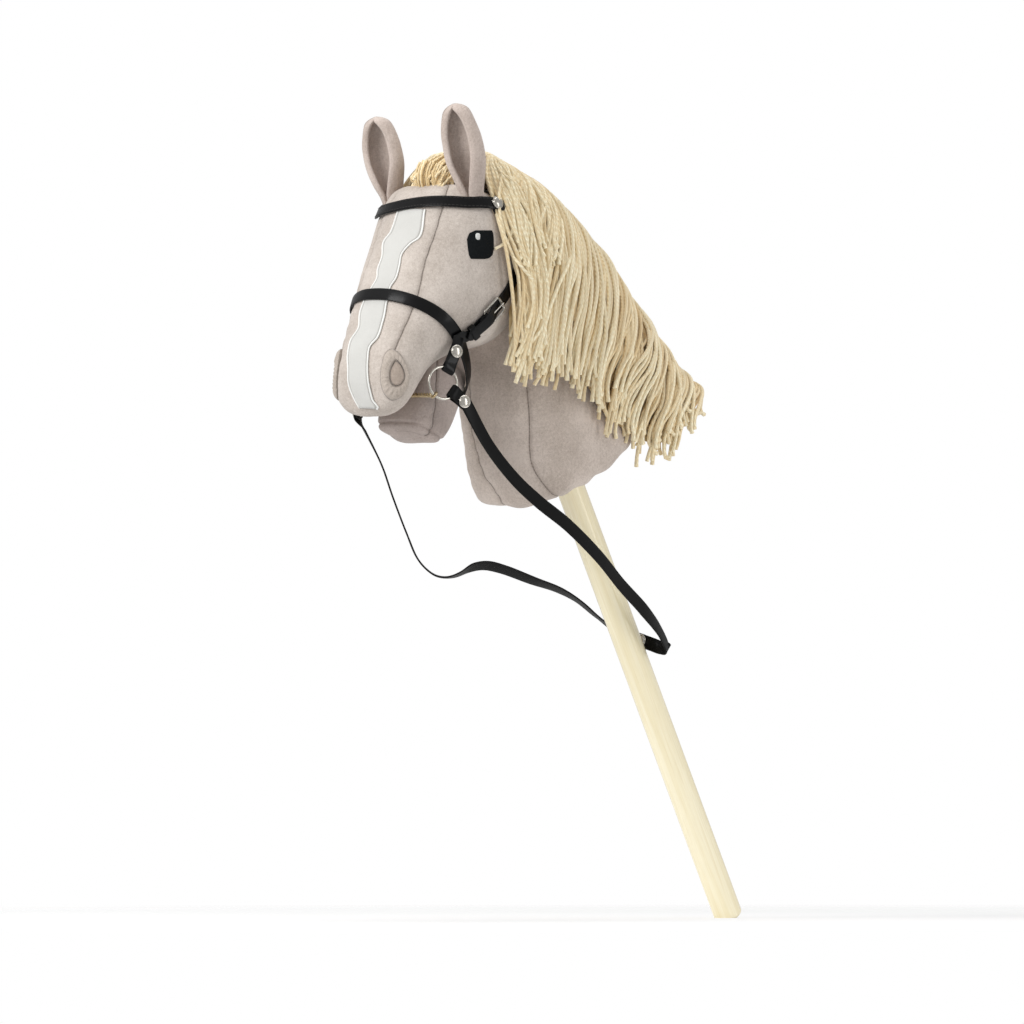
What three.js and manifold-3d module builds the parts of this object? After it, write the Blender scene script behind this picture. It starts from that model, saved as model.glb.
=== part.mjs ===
// A stuffed hobby horse: a plush head and neck on a wooden stick, with a yarn mane, a leather
// bridle and reins. Millimetres, +Z up. The horse looks along -Y and its left side is +X.
// The origin is the centre of the flat at the stick's foot, and the stick leans forward from it.
// All but the reins is built in the stick's own frame: x to the horse's left, y to its back and
// z along the stick. The last group leans that frame over as the horse is held.
import * as THREE from 'three';
import { mergeVertices } from 'three/addons/utils/BufferGeometryUtils.js';
import Module from 'manifold-3d';

const wasm = await Module();
wasm.setup();

// Stick
const stick_diameter = 25;
const stick_length = 668;
const stick_lean = 27.2;
const stick_end_round = 5;

// Cloth, and the gaps between pieces that touch
const plush_thickness = 2;
const seat_gap = 0.35;
const strap_seat = 0.7;
const patch_seat = 0.6;
const cut_overrun = 4;

// Head: the face line runs from the poll to the nose, and sizes are measured along and behind it
const head_length = 214;
const head_width = 126;
const head_depth = 128;
const face_angle = 51.2;
const poll_height = 750;
const poll_forward = 42;
const stuffing_slack = 0.4;

// Neck, from its flat underside up along the stick
const neck_foot_height = 440;
const neck_length = 268;
const neck_width = 122;
const neck_depth = 148;

// Lower jaw
const jaw_width = 59;
const jaw_depth = 47;
const jaw_reach = 100;

// Ears
const ear_height_left = 82;
const ear_height_right = 71;
const ear_width = 39;
const ear_cup = 25;
const ear_wall = 3.2;
const ear_tilt = 36;
const ear_splay_left = -4;
const ear_splay_right = 3;
const ear_turn_left = 26;
const ear_turn_right = 14;
const ear_place_left = 48;
const ear_place_right = 55;

// Embroidered and sewn-on face pieces
const eye_width = 25.5;
const eye_height = 25;
const patch_thickness = 1;
const glint_width = 4.5;
const nostril_length = 40;
const nostril_width = 25;

// Bridle
const strap_width = 11;
const rein_width = 12;
const strap_thickness = 1.4;
const rivet_diameter = 11.6;
const rivet_height = 2.6;
const rivet_shank = 2.6;
const rivet_back_diameter = 7;
const rivet_back_thickness = 0.8;
const shank_gap = 0.4;
const ring_diameter = 30.6;
const ring_wire = 2.4;
const ring_toe_in = 15;
const ring_spacing = 103;
const cheek_rivet_reach = 31;
const rein_rivet_reach = 25.5;
const rivet_tail = 6.5;
const wire_slack = 0.7;
const rein_slack = 1.1;
const bit_wire = 2.1;
const bit_eye_wire = 1.8;
const buckle_length = 21;
const buckle_width = 17;
const buckle_wire = 1.6;
const buckle_height = 3.2;
const buckle_place = 34;
const keeper_width = 6;
const keeper_thickness = 1;
const keeper_place = 17;
const billet_reach = 25;
const tongue_wire = 1.5;
const tongue_slot = 3;
const fold_tail = 9;
const rein_join_height = 265.5;
const rein_join_back = 4.8;
const rein_join_side = 3.1;
const rein_overlap = 6.5;
const rein_fine = 46;

// Mane: its foot hangs below the neck's, and its top lies just under the poll
const mane_foot_drop = 38;
const mane_top_drop = 3;
const mane_depth = 186;
const mane_width = 158;
const mane_lift = 2.6;
const mane_head_lift = 4.2;
const mane_tape_width = 22;
const mane_tape_thickness = 1;
const forelock_height = 38;
const forelock_foot_drop = 28;
const forelock_depth = 50;
const forelock_width = 50;

const section_power = 2.5;
const jaw_power = 4;

const radians = THREE.MathUtils.degToRad;
const vec = (x, y, z) => new THREE.Vector3(x, y, z);
const steps = (count, from = 0, to = 1) =>
  [...Array(count + 1).keys()].map((k) => from + (to - from) * k / count);

// Each row: place along, half width, front edge and back edge, as shares of length, width and depth
const head_shares = [
  [-0.030, 0.18, -0.28, -0.52],
  [-0.020, 0.36, -0.17, -0.63],
  [0.010, 0.455, -0.085, -0.75],
  [0.060, 0.495, -0.03, -0.87],
  [0.150, 0.515, 0.0, -0.95],
  [0.280, 0.515, 0.0, -1.0],
  [0.400, 0.505, 0.005, -0.99],
  [0.495, 0.470, 0.010, -0.91],
  [0.575, 0.420, 0.018, -0.75],
  [0.655, 0.370, 0.020, -0.57],
  [0.740, 0.345, 0.015, -0.46],
  [0.820, 0.340, 0.0, -0.405],
  [0.890, 0.325, -0.035, -0.375],
  [0.945, 0.280, -0.095, -0.345],
  [0.985, 0.190, -0.155, -0.300],
  [0.998, 0.090, -0.190, -0.255],
];
const neck_shares = [
  [0.0, 0.36, -0.41, 0.33],
  [0.012, 0.44, -0.50, 0.40],
  [0.045, 0.495, -0.555, 0.445],
  [0.150, 0.500, -0.545, 0.455],
  [0.300, 0.485, -0.475, 0.455],
  [0.450, 0.465, -0.390, 0.450],
  [0.600, 0.450, -0.310, 0.435],
  [0.750, 0.430, -0.250, 0.395],
  [0.880, 0.380, -0.190, 0.310],
  [0.970, 0.270, -0.120, 0.190],
  [1.0, 0.140, -0.060, 0.090],
];
const jaw_shares = [
  [0.0, 0.40, 0.0, -0.90],
  [0.15, 0.49, 0.0, -0.98],
  [0.45, 0.50, 0.0, -1.03],
  [0.75, 0.50, -0.01, -1.02],
  [0.92, 0.48, -0.04, -0.95],
  [0.98, 0.44, -0.10, -0.86],
  [1.0, 0.36, -0.18, -0.76],
];

// Values of a table at a place between its rows, on a cubic through the rows around it
function row_at(rows, place) {
  const last = rows.length - 2;
  let k = 0;
  while (k < last && rows[k + 1][0] < place) k += 1;
  const [a, b] = [rows[k], rows[k + 1]];
  const before = rows[Math.max(k - 1, 0)];
  const after = rows[Math.min(k + 2, last + 1)];
  const span = b[0] - a[0];
  const s = THREE.MathUtils.clamp((place - a[0]) / span, 0, 1);
  return a.slice(1).map((from, i) => {
    const to = b[i + 1];
    const slope_a = (to - before[i + 1]) / (b[0] - before[0]) * span;
    const slope_b = (after[i + 1] - from) / (after[0] - a[0]) * span;
    return from * (2 * s ** 3 - 3 * s ** 2 + 1) + slope_a * (s ** 3 - 2 * s ** 2 + s)
      + to * (3 * s ** 2 - 2 * s ** 3) + slope_b * (s ** 3 - s ** 2);
  });
}

// Turns a geometry's faces outwards if they point inwards
function outward(geometry) {
  const { array } = geometry.getAttribute('position');
  const index = geometry.getIndex().array;
  let volume = 0;
  for (let k = 0; k < index.length; k += 3) {
    const [a, b, c] = [0, 1, 2].map((i) => new THREE.Vector3().fromArray(array, 3 * index[k + i]));
    volume += a.dot(b.cross(c));
  }
  if (volume < 0) {
    for (let k = 0; k < index.length; k += 3) [index[k + 1], index[k + 2]] = [index[k + 2], index[k + 1]];
  }
  return geometry;
}

function geometry_of(points, triangles) {
  const geometry = new THREE.BufferGeometry();
  geometry.setAttribute('position', new THREE.Float32BufferAttribute(points.flatMap((p) => p.toArray()), 3));
  geometry.setIndex(triangles);
  return outward(geometry);
}

// A closed skin over rings of points, with a fan over each end, or joined end to end when looped
function skin_over(rings, looped = false) {
  const around = rings[0].length;
  const points = rings.flat();
  const triangles = [];
  for (let k = 0; k < rings.length - (looped ? 0 : 1); k += 1) {
    const [low, high] = [k * around, ((k + 1) % rings.length) * around];
    for (let i = 0; i < around; i += 1) {
      const next = (i + 1) % around;
      triangles.push(low + i, low + next, high + next, low + i, high + next, high + i);
    }
  }
  if (!looped) {
    for (const [base, flip] of [[0, true], [(rings.length - 1) * around, false]]) {
      const middle = points.slice(base, base + around).reduce((sum, p) => sum.add(p), vec(0, 0, 0));
      points.push(middle.divideScalar(around));
      for (let i = 0; i < around; i += 1) {
        const [a, b] = [base + i, base + (i + 1) % around];
        triangles.push(points.length - 1, flip ? b : a, flip ? a : b);
      }
    }
  }
  return geometry_of(points, triangles);
}

// A closed sheet between two grids of points, rows by columns
function sheet_between(low, high) {
  return skin_over(low.map((row, k) => [...row, ...[...high[k]].reverse()]));
}

const to_solid = (geometry) => {
  const bare = geometry.clone();
  for (const name of Object.keys(bare.attributes)) if (name !== 'position') bare.deleteAttribute(name);
  const merged = mergeVertices(bare, 1e-5);
  return new wasm.Manifold(new wasm.Mesh({
    numProp: 3,
    vertProperties: new Float32Array(merged.getAttribute('position').array),
    triVerts: new Uint32Array(merged.getIndex().array),
  }));
};
const to_geometry = (solid) => {
  const mesh = solid.getMesh();
  const geometry = new THREE.BufferGeometry();
  geometry.setAttribute('position', new THREE.BufferAttribute(mesh.vertProperties, mesh.numProp));
  geometry.setIndex(new THREE.BufferAttribute(mesh.triVerts, 1));
  return geometry;
};
const cut = (geometry, ...cutters) => to_geometry(
  cutters.reduce((solid, cutter) => solid.subtract(to_solid(cutter)), to_solid(geometry)));
const joined = (...parts) => to_geometry(
  parts.slice(1).reduce((solid, part) => solid.add(to_solid(part)), to_solid(parts[0])));

// A stuffed body: rows of shares along a line, with rounded oblong sections across it.
// place(x, front, along) turns its own sizes into the stick's frame.
function stuffed_body(shares, length, width, depth, power, place) {
  const first = shares[0][0];
  const reach = shares.at(-1)[0] - first;
  const section = (along, grow = 0) => {
    const stretch = 1 + 2 * grow / (reach * length);
    const share = (along / length - first - reach / 2) / stretch + first + reach / 2;
    const [half_share, front_share, back_share] = row_at(shares, share);
    return {
      half: half_share * width + grow,
      middle: (front_share + back_share) / 2 * depth,
      deep: Math.abs(front_share - back_share) / 2 * depth + grow,
    };
  };
  const inside = (x, front, along) => {
    if (along < first * length || along > (first + reach) * length) return 2;
    const { half, middle, deep } = section(along);
    return Math.abs(x / half) ** power + Math.abs((front - middle) / deep) ** power;
  };
  const lifted = (x, front, along, lift) => {
    const step = width / 500;
    const slope = [[step, 0, 0], [0, step, 0], [0, 0, step]].map(([i, j, k]) =>
      inside(x + i, front + j, along + k) - inside(x - i, front - j, along - k));
    const foot = place(x, front, along);
    const normal = place(x + slope[0], front + slope[1], along + slope[2]).sub(foot).normalize();
    return { point: foot.addScaledVector(normal, lift), normal };
  };
  return {
    section,
    // The skin at a height along the body, in a direction round it: 0 is the face, 90 the left side
    round_at(along, direction, lift = 0) {
      const { half, middle, deep } = section(along);
      const [side, face] = [Math.sin(radians(direction)), Math.cos(radians(direction))];
      const reach_out = (Math.abs(side / half) ** power + Math.abs(face / deep) ** power) ** (-1 / power);
      return lifted(side * reach_out, middle + face * reach_out, along, lift);
    },
    // The skin on the left (side 1) or right (side -1), at a place seen from the side
    side_at(along, front, side, lift = 0) {
      const { half, middle, deep } = section(along);
      const rest = Math.max(1 - Math.abs((front - middle) / deep) ** power, 0.01);
      return lifted(side * half * rest ** (1 / power), front, along, lift);
    },
    // The skin on the face, at a place seen from the front
    front_at(along, x, lift = 0) {
      const { half, middle, deep } = section(along);
      const rest = Math.max(1 - Math.abs(x / half) ** power, 0.01);
      return lifted(x, middle + deep * rest ** (1 / power), along, lift);
    },
    // The skin met on the way from a point inside to a point outside, each as [x, front, along]
    skin_between(from, to, lift = 0) {
      let [near, far] = [0, 1];
      for (let turn = 0; turn < 40; turn += 1) {
        const half_way = (near + far) / 2;
        const at = from.map((value, k) => value + (to[k] - value) * half_way);
        if (inside(...at) < 1) near = half_way;
        else far = half_way;
      }
      return lifted(...from.map((value, k) => value + (to[k] - value) * near), lift);
    },
    solid(grow, rings, sides) {
      const low = first * length - grow;
      const high = (first + reach) * length + grow;
      return skin_over(steps(rings - 1).map((even) => {
        const along = low + (high - low) * (even - Math.sin(2 * Math.PI * even) / (3 * Math.PI));
        const { half, middle, deep } = section(along, grow);
        return [...Array(sides).keys()].map((k) => {
          const turn = 2 * Math.PI * k / sides;
          const [side, face] = [Math.sin(turn), Math.cos(turn)];
          return place(Math.sign(side) * Math.abs(side) ** (2 / power) * half,
            middle + Math.sign(face) * Math.abs(face) ** (2 / power) * deep, along);
        });
      }));
    },
  };
}

const face_down = vec(0, -Math.sin(radians(face_angle)), -Math.cos(radians(face_angle)));
const face_out = vec(0, -Math.cos(radians(face_angle)), Math.sin(radians(face_angle)));
const on_head = (x, front, along) => vec(x, -poll_forward, poll_height)
  .addScaledVector(face_down, along).addScaledVector(face_out, front);
const head = stuffed_body(head_shares, head_length, head_width, head_depth, section_power, on_head);
const neck = stuffed_body(neck_shares, neck_length, neck_width, neck_depth, section_power,
  (x, back, along) => vec(x, back, neck_foot_height + along));
const jaw_start = 0.52 * head_length;
const jaw_top = -0.455 * head_depth;
const jaw = stuffed_body(jaw_shares, jaw_reach, jaw_width, jaw_depth, jaw_power,
  (x, front, along) => on_head(x, jaw_top + front, jaw_start + along));

const leaning = new THREE.Group();
leaning.rotation.x = radians(stick_lean);
const upright = new THREE.Group();
const lean_over = (point) => point.clone().applyAxisAngle(vec(1, 0, 0), radians(stick_lean));

const plush = { color: 0xcabbb6, roughness: 0.95 };
const filling = { color: 0xf2f0ea, roughness: 1 };
const yarn = { color: 0xe2cf9f, roughness: 0.9 };
const black_leather = { color: 0x17171a, roughness: 0.45 };
const nickel = { color: 0xc9c6bf, roughness: 0.25, metalness: 1 };
const brass_wire = { color: 0xb59a63, roughness: 0.3, metalness: 1 };
const white_felt = { color: 0xe7e8e4, roughness: 0.9 };
const black_thread = { color: 0x171c20, roughness: 0.6 };
const lacquered_wood = { color: 0xdcd19f, roughness: 0.35 };

function add(name, geometry, finish, group = leaning) {
  const mesh = new THREE.Mesh(geometry, new THREE.MeshStandardMaterial(finish));
  mesh.name = name;
  group.add(mesh);
}

// Turns a geometry drawn along z so that it stands at a point along an axis
const stood = (geometry, point, axis) => geometry
  .applyQuaternion(new THREE.Quaternion().setFromUnitVectors(vec(0, 0, 1), axis.clone().normalize()))
  .translate(...point.toArray());
const turned = (outline, sides) => new THREE.LatheGeometry(
  outline.map(([radius, height]) => new THREE.Vector2(radius, height)), sides).rotateX(Math.PI / 2);
const rod = (radius, from, to, sides) => turned([[0, from], [radius, from], [radius, to], [0, to]], sides);

// Stick: a round pole with a small flat foot, its upper end deep in the stuffing of the head
function pole(radius, round, from, to) {
  const corner = [0, 30, 60, 90].map((turn) => [
    radius - round + round * Math.sin(radians(turn)), from + round - round * Math.cos(radians(turn))]);
  return turned([[0, from], ...corner, [radius, to], [0, to]], 24);
}
const stick_bore = rod(stick_diameter / 2 + seat_gap, neck_foot_height - cut_overrun,
  stick_length + seat_gap, 24);
add('stick', pole(stick_diameter / 2, stick_end_round, 0, stick_length), lacquered_wood);

// Head and neck: plush covers with the stuffing inside them. The neck is sewn on round the head
const inner = -plush_thickness;
const filled = inner - stuffing_slack;
const head_outer = head.solid(seat_gap, 22, 24);
add('head_cover', cut(head.solid(0, 22, 24), head.solid(inner, 14, 14), stick_bore), plush);
add('head_stuffing', cut(head.solid(filled, 14, 14), stick_bore), filling);
add('neck_cover', cut(neck.solid(0, 14, 24), neck.solid(inner, 10, 14), head_outer, stick_bore), plush);
add('neck_stuffing', cut(neck.solid(filled, 10, 14), head_outer, stick_bore), filling);
add('lower_jaw', cut(jaw.solid(0, 9, 20), head_outer), plush);

// Ears: cupped leaves of plush. Rows: place along, half width, cup depth and half opening in degrees
const ear_shares = [
  [-0.12, 0.22, 0.32, 20],
  [0.0, 0.25, 0.38, 26],
  [0.15, 0.36, 0.46, 34],
  [0.40, 0.49, 0.50, 40],
  [0.62, 0.49, 0.46, 38],
  [0.80, 0.42, 0.38, 32],
  [0.92, 0.32, 0.29, 24],
  [1.0, 0.17, 0.17, 16],
];
const ear_base_share = [0.026, -0.199];
function ear(side, place_out, turn, splay, ear_height) {
  const lean = radians(ear_tilt);
  const axis = face_down.clone().multiplyScalar(-Math.cos(lean)).addScaledVector(face_out, Math.sin(lean));
  axis.addScaledVector(vec(1, 0, 0), side * Math.tan(radians(splay))).normalize();
  const front = vec(1, 0, 0).cross(axis).normalize();
  const across = front.clone().cross(axis).multiplyScalar(-Math.cos(radians(turn)))
    .addScaledVector(front, -Math.sin(radians(turn)));
  const open = across.clone().cross(axis).normalize();
  const [along_share, front_share] = ear_base_share;
  const base = on_head(side * place_out, front_share * head_depth, along_share * head_length);
  const wall = (inset) => steps(8, ear_shares[0][0], 1).map((place) => {
    const [half_share, cup_share, gap] = row_at(ear_shares, place);
    const half = Math.max(half_share * ear_width - inset, inset / 4);
    const cup = Math.max(cup_share * ear_cup - inset, inset / 4);
    const along = place * ear_height - (place > 0.9 ? inset : 0);
    return steps(9, gap, 360 - gap).map((angle) => base.clone()
      .addScaledVector(axis, along)
      .addScaledVector(across, Math.sin(radians(angle)) * half)
      .addScaledVector(open, Math.cos(radians(angle)) * cup));
  });
  return sheet_between(wall(0), wall(ear_wall));
}

// A sewn-on patch: a grid of places on the skin, raised by its own thickness
function patch(rows, lift, thickness) {
  const raised = (height) => rows.map((row) => row.map(({ point, normal }) =>
    point.clone().addScaledVector(normal, lift + height)));
  return sheet_between(raised(0), raised(thickness));
}

// The same piece on the horse's right
const mirrored = (geometry) => outward(geometry.clone().scale(-1, 1, 1));
function add_pair(name, geometry, finish) {
  add(`${name}_left`, geometry, finish);
  add(`${name}_right`, mirrored(geometry), finish);
}

// Eyes and their glints. Rows down a patch: place down it, front edge and back edge, as shares
const eye_shares = [
  [-0.50, 0.18, -0.44],
  [-0.40, 0.40, -0.49],
  [-0.18, 0.50, -0.50],
  [0.15, 0.50, -0.49],
  [0.36, 0.49, -0.43],
  [0.47, 0.45, -0.28],
  [0.50, 0.42, -0.10],
];
const glint_shares = [[-0.5, 0.25, -0.25], [-0.2, 0.5, -0.5], [0.2, 0.5, -0.5], [0.5, 0.25, -0.25]];
const eye_place_share = [0.217, -0.308];
const glint_place_share = [-0.20, 0.26];
const level_turn = face_angle - stick_lean;
function side_grid(shares, centre, width, height, columns) {
  const [c, s] = [Math.cos(radians(level_turn)), Math.sin(radians(level_turn))];
  return shares.map(([down, front_edge, back_edge]) => steps(columns, front_edge, back_edge)
    .map((ahead) => head.side_at(centre[0] + down * height * c + ahead * width * s,
      centre[1] - down * height * s + ahead * width * c, 1)));
}
const eye_centre = [eye_place_share[0] * head_length, eye_place_share[1] * head_depth];
const glint_centre = [
  eye_centre[0] + glint_place_share[0] * eye_height, eye_centre[1] + glint_place_share[1] * eye_width];
add_pair('eye', patch(side_grid(eye_shares, eye_centre, eye_width, eye_height, 4),
  patch_seat, patch_thickness), black_thread);
add_pair('eye_glint', patch(side_grid(glint_shares, glint_centre, glint_width, glint_width, 2),
  patch_seat + patch_thickness + seat_gap, patch_thickness / 2), white_felt);

// Nostrils: a padded teardrop rim round an opening. They lie round the corner of the muzzle
const nostril_shares = [
  [-0.50, 0.12, -0.14],
  [-0.34, 0.30, -0.32],
  [-0.10, 0.45, -0.46],
  [0.16, 0.50, -0.50],
  [0.36, 0.40, -0.40],
  [0.50, 0.14, -0.16],
];
const nostril_opening_shares = [
  [-0.38, 0.02, -0.10],
  [-0.20, 0.08, -0.18],
  [0.02, 0.14, -0.28],
  [0.17, 0.16, -0.30],
  [0.25, 0.04, -0.18],
];
const nostril_place_share = 0.855;
const nostril_direction = 64;
function muzzle_grid(shares, columns) {
  const [c, s] = [Math.cos(radians(level_turn)), Math.sin(radians(level_turn))];
  const centre = nostril_place_share * head_length;
  const { half, deep } = head.section(centre);
  const to_degrees = THREE.MathUtils.radToDeg(2 / (half + deep));
  return shares.map(([down, front_edge, back_edge]) => steps(columns, front_edge, back_edge)
    .map((ahead) => head.round_at(
      centre + down * nostril_length * c + ahead * nostril_width * s,
      nostril_direction - (ahead * nostril_width * c - down * nostril_length * s) * to_degrees)));
}
add_pair('nostril', cut(patch(muzzle_grid(nostril_shares, 5), patch_seat + seat_gap, 2 * patch_thickness),
  patch(muzzle_grid(nostril_opening_shares, 3), -cut_overrun, 2 * cut_overrun)), plush);

// Blaze. Rows: place along and the half width of the white cloth, scalloped, as shares
const blaze_shares = [
  [0.10, 0.125], [0.16, 0.13], [0.21, 0.165], [0.26, 0.17], [0.31, 0.13], [0.37, 0.125], [0.42, 0.10],
  [0.48, 0.085], [0.54, 0.095], [0.60, 0.10], [0.66, 0.085], [0.73, 0.10], [0.80, 0.098], [0.86, 0.10],
  [0.92, 0.085], [0.97, 0.055],
];
add('blaze', patch(blaze_shares.map(([along, half]) => steps(4, half, -half)
  .map((across) => head.front_at(along * head_length, across * head_width))), patch_seat, patch_thickness),
white_felt);

// A flat strap along stations of {point, normal}, where point is on the face it bends over
function strap(stations, width, looped = false, thickness = strap_thickness) {
  const last = stations.length - 1;
  return skin_over(stations.map(({ point, normal }, k) => {
    const before = stations[looped ? (k + last) % (last + 1) : Math.max(k - 1, 0)].point;
    const after = stations[looped ? (k + 1) % (last + 1) : Math.min(k + 1, last)].point;
    const across = after.clone().sub(before).cross(normal).normalize().multiplyScalar(width / 2);
    const top = point.clone().addScaledVector(normal, thickness);
    return [point.clone().sub(across), point.clone().add(across), top.clone().add(across), top.sub(across)];
  }), looped);
}

// A smooth course through places on the skin, read at a distance along it and a height above it
function course_over(places) {
  const curve = new THREE.CatmullRomCurve3(places.map(({ point }) => point), false, 'centripetal');
  const length = curve.getLength();
  const spans = places.length - 1;
  return {
    length,
    at(distance, height) {
      const t = curve.getUtoTmapping(THREE.MathUtils.clamp(distance / length, 0, 1));
      const slot = Math.min(Math.floor(t * spans), spans - 1);
      const ahead = curve.getTangent(t);
      const normal = places[slot].normal.clone().lerp(places[slot + 1].normal, t * spans - slot);
      normal.addScaledVector(ahead, -normal.dot(ahead)).normalize();
      return { point: curve.getPoint(t).addScaledVector(normal, height), normal, ahead };
    },
  };
}

// A value along pairs of [distance, value], straight between them
function ramp(pairs, distance) {
  const k = pairs.findIndex(([far]) => far > distance);
  if (k === 0) return pairs[0][1];
  if (k < 0) return pairs.at(-1)[1];
  const [[from, low], [to, high]] = [pairs[k - 1], pairs[k]];
  return low + (high - low) * (distance - from) / (to - from);
}

// The end of a strap folded round a wire: down one layer, round the wire and up the other.
// away leads from the wire along the strap, and across points out of the first layer
const fold_spread = 2.2;
function fold_round(wire, away, across, reach, half, first_length, second_length) {
  const rest = seat_gap / 2;
  const layer = (distance, sign) => ({
    point: wire.clone().addScaledVector(away, distance).addScaledVector(across,
      sign * (rest + (half - rest) * Math.max(1 - distance / (fold_spread * reach), 0) ** 1.5)),
    normal: across.clone().multiplyScalar(sign),
  });
  const round = steps(6, 80, -80).map((angle) => {
    const [c, s] = [Math.cos(radians(angle)), Math.sin(radians(angle))];
    return {
      point: wire.clone().addScaledVector(away, -reach * c).addScaledVector(across, half * s),
      normal: away.clone().multiplyScalar(-c / reach).addScaledVector(across, s / half).normalize(),
    };
  });
  return [
    ...steps(4, first_length, reach).map((distance) => layer(distance, 1)),
    ...round,
    ...steps(4, reach, second_length).map((distance) => layer(distance, -1)),
  ];
}

// A closed wire through points in one plane
function wire_loop(points, radius, axis, sides) {
  const last = points.length - 1;
  return skin_over(points.map((point, k) => {
    const ahead = points[k === last ? 0 : k + 1].clone().sub(points[k === 0 ? last : k - 1]);
    const out = ahead.cross(axis).normalize();
    return [...Array(sides).keys()].map((i) => {
      const turn = 2 * Math.PI * i / sides;
      return point.clone().addScaledVector(out, radius * Math.cos(turn))
        .addScaledVector(axis, radius * Math.sin(turn));
    });
  }), true);
}
function round_loop(centre, axis, radius, wire_radius, turns, sides) {
  const start = vec(0, 0, 1).cross(axis).normalize();
  return wire_loop([...Array(turns).keys()].map((k) => start.clone()
    .applyAxisAngle(axis, 2 * Math.PI * k / turns).multiplyScalar(radius).add(centre)),
  wire_radius, axis, sides);
}

// Rivets: a domed cap, a shank through the straps and a small back plate. The point is on the face
// that the cap sits on, and grip is the depth of the straps under it
function rivet(point, axis, grip) {
  const cap = rivet_diameter / 2;
  const shank = rivet_shank / 2;
  const back = -grip - seat_gap;
  const dome = [0, 30, 60].map((turn) => [cap * Math.cos(radians(turn)),
    seat_gap + rivet_height * (0.3 + 0.7 * Math.sin(radians(turn)))]);
  return stood(turned([
    [0, back - rivet_back_thickness], [rivet_back_diameter / 2, back - rivet_back_thickness],
    [rivet_back_diameter / 2, back], [shank, back], [shank, seat_gap], [cap, seat_gap],
    ...dome, [0, seat_gap + rivet_height],
  ], 12), point, axis);
}
const rivet_hole = ({ point, axis, grip }) => stood(rod(rivet_shank / 2 + shank_gap,
  -grip - cut_overrun, cut_overrun, 12), point, axis);

// Where the bridle lies. Places on the side of the head are [along, behind the face line], and
// places over the poll are [left, front, along], as shares of the head's sizes
const cheek_shares = [
  [0.589, -0.414], [0.570, -0.484], [0.505, -0.539], [0.430, -0.586], [0.379, -0.625], [0.304, -0.664],
  [0.201, -0.648], [0.117, -0.516], [0.037, -0.320],
];
const poll_shares = [[0.62, -0.33, -0.04], [0.50, -0.345, -0.14], [0.25, -0.345, -0.20], [0, -0.345, -0.22]];
const poll_heart_share = [0, -0.40, 0.20];
const on_poll = ([x, front, along]) => [x * head_width, front * head_depth, along * head_length];
const side_places = (side) => [
  ...cheek_shares.map(([along, front]) => head.side_at(along * head_length, front * head_depth, side)),
  ...poll_shares.map(([x, front, along]) =>
    head.skin_between(on_poll(poll_heart_share), on_poll([side * x, front, along]))),
];
const crown = course_over([...side_places(1), ...side_places(-1).reverse().slice(1)]);
const crossing = head.side_at(cheek_shares.at(-1)[0] * head_length, cheek_shares.at(-1)[1] * head_depth, 1);
const layer = strap_thickness + seat_gap;
const over_patch = patch_seat + patch_thickness + seat_gap;
const over_rivet_back = 2 * seat_gap + rivet_back_thickness + strap_seat;

// Distance up the crown's course from the noseband to the browband, where the skin's point is
let browband_place = 0;
for (const share of steps(400, 0, 0.5)) {
  const gap = crown.at(share * crown.length, 0).point.distanceTo(crossing.point);
  const best = crown.at(browband_place, 0).point.distanceTo(crossing.point);
  if (gap < best) browband_place = share * crown.length;
}
const heel = buckle_place;
const top_bar = heel + buckle_length - buckle_wire;
const bar_gap = buckle_height + buckle_wire / 2 + seat_gap;
const fold_top = bar_gap + strap_thickness;

// Headpiece: one strap from buckle to buckle over the poll, with a slot for each buckle's tongue
const headpiece_heights = [
  [heel - billet_reach, over_rivet_back + layer + strap_thickness],
  [heel - keeper_place, over_rivet_back + layer + keeper_thickness],
  [heel - fold_tail, fold_top - seat_gap],
  [heel, fold_top + seat_gap],
  [heel + buckle_wire, fold_top + seat_gap],
  [top_bar - keeper_width, strap_seat + seat_gap],
  [top_bar, strap_seat],
  [browband_place - 2 * rivet_diameter, strap_seat],
  [browband_place - rivet_diameter / 2, over_rivet_back],
  [browband_place + rivet_diameter, over_rivet_back],
  [browband_place + 3 * rivet_diameter, strap_seat],
];
const headpiece_low = (distance) => ramp(headpiece_heights, Math.min(distance, crown.length - distance));
const fine = heel + billet_reach;
const headpiece_places = [
  ...steps(20, heel - billet_reach, fine),
  ...steps(40, fine, crown.length - fine).slice(1, -1),
  ...steps(20, crown.length - fine, crown.length - heel + billet_reach),
];
const headpiece_strap = strap(headpiece_places.map((distance) =>
  crown.at(distance, headpiece_low(distance))), strap_width);

// A block along the crown's course, from one distance to another
function slot_block(from, to, low, high, width) {
  const [a, b] = [crown.at(from, low), crown.at(to, low)];
  const normal = a.normal.clone().add(b.normal).normalize();
  return strap([{ point: a.point, normal }, { point: b.point, normal }], width, false, high - low);
}
const billet_slot = slot_block(heel - tongue_wire, heel + 0.72 * buckle_length, -cut_overrun,
  3 * cut_overrun, tongue_slot);
const fold_slot = slot_block(heel - 2.2 * tongue_wire, heel + 2.2 * tongue_wire, -cut_overrun,
  3 * cut_overrun, tongue_slot);

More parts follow.
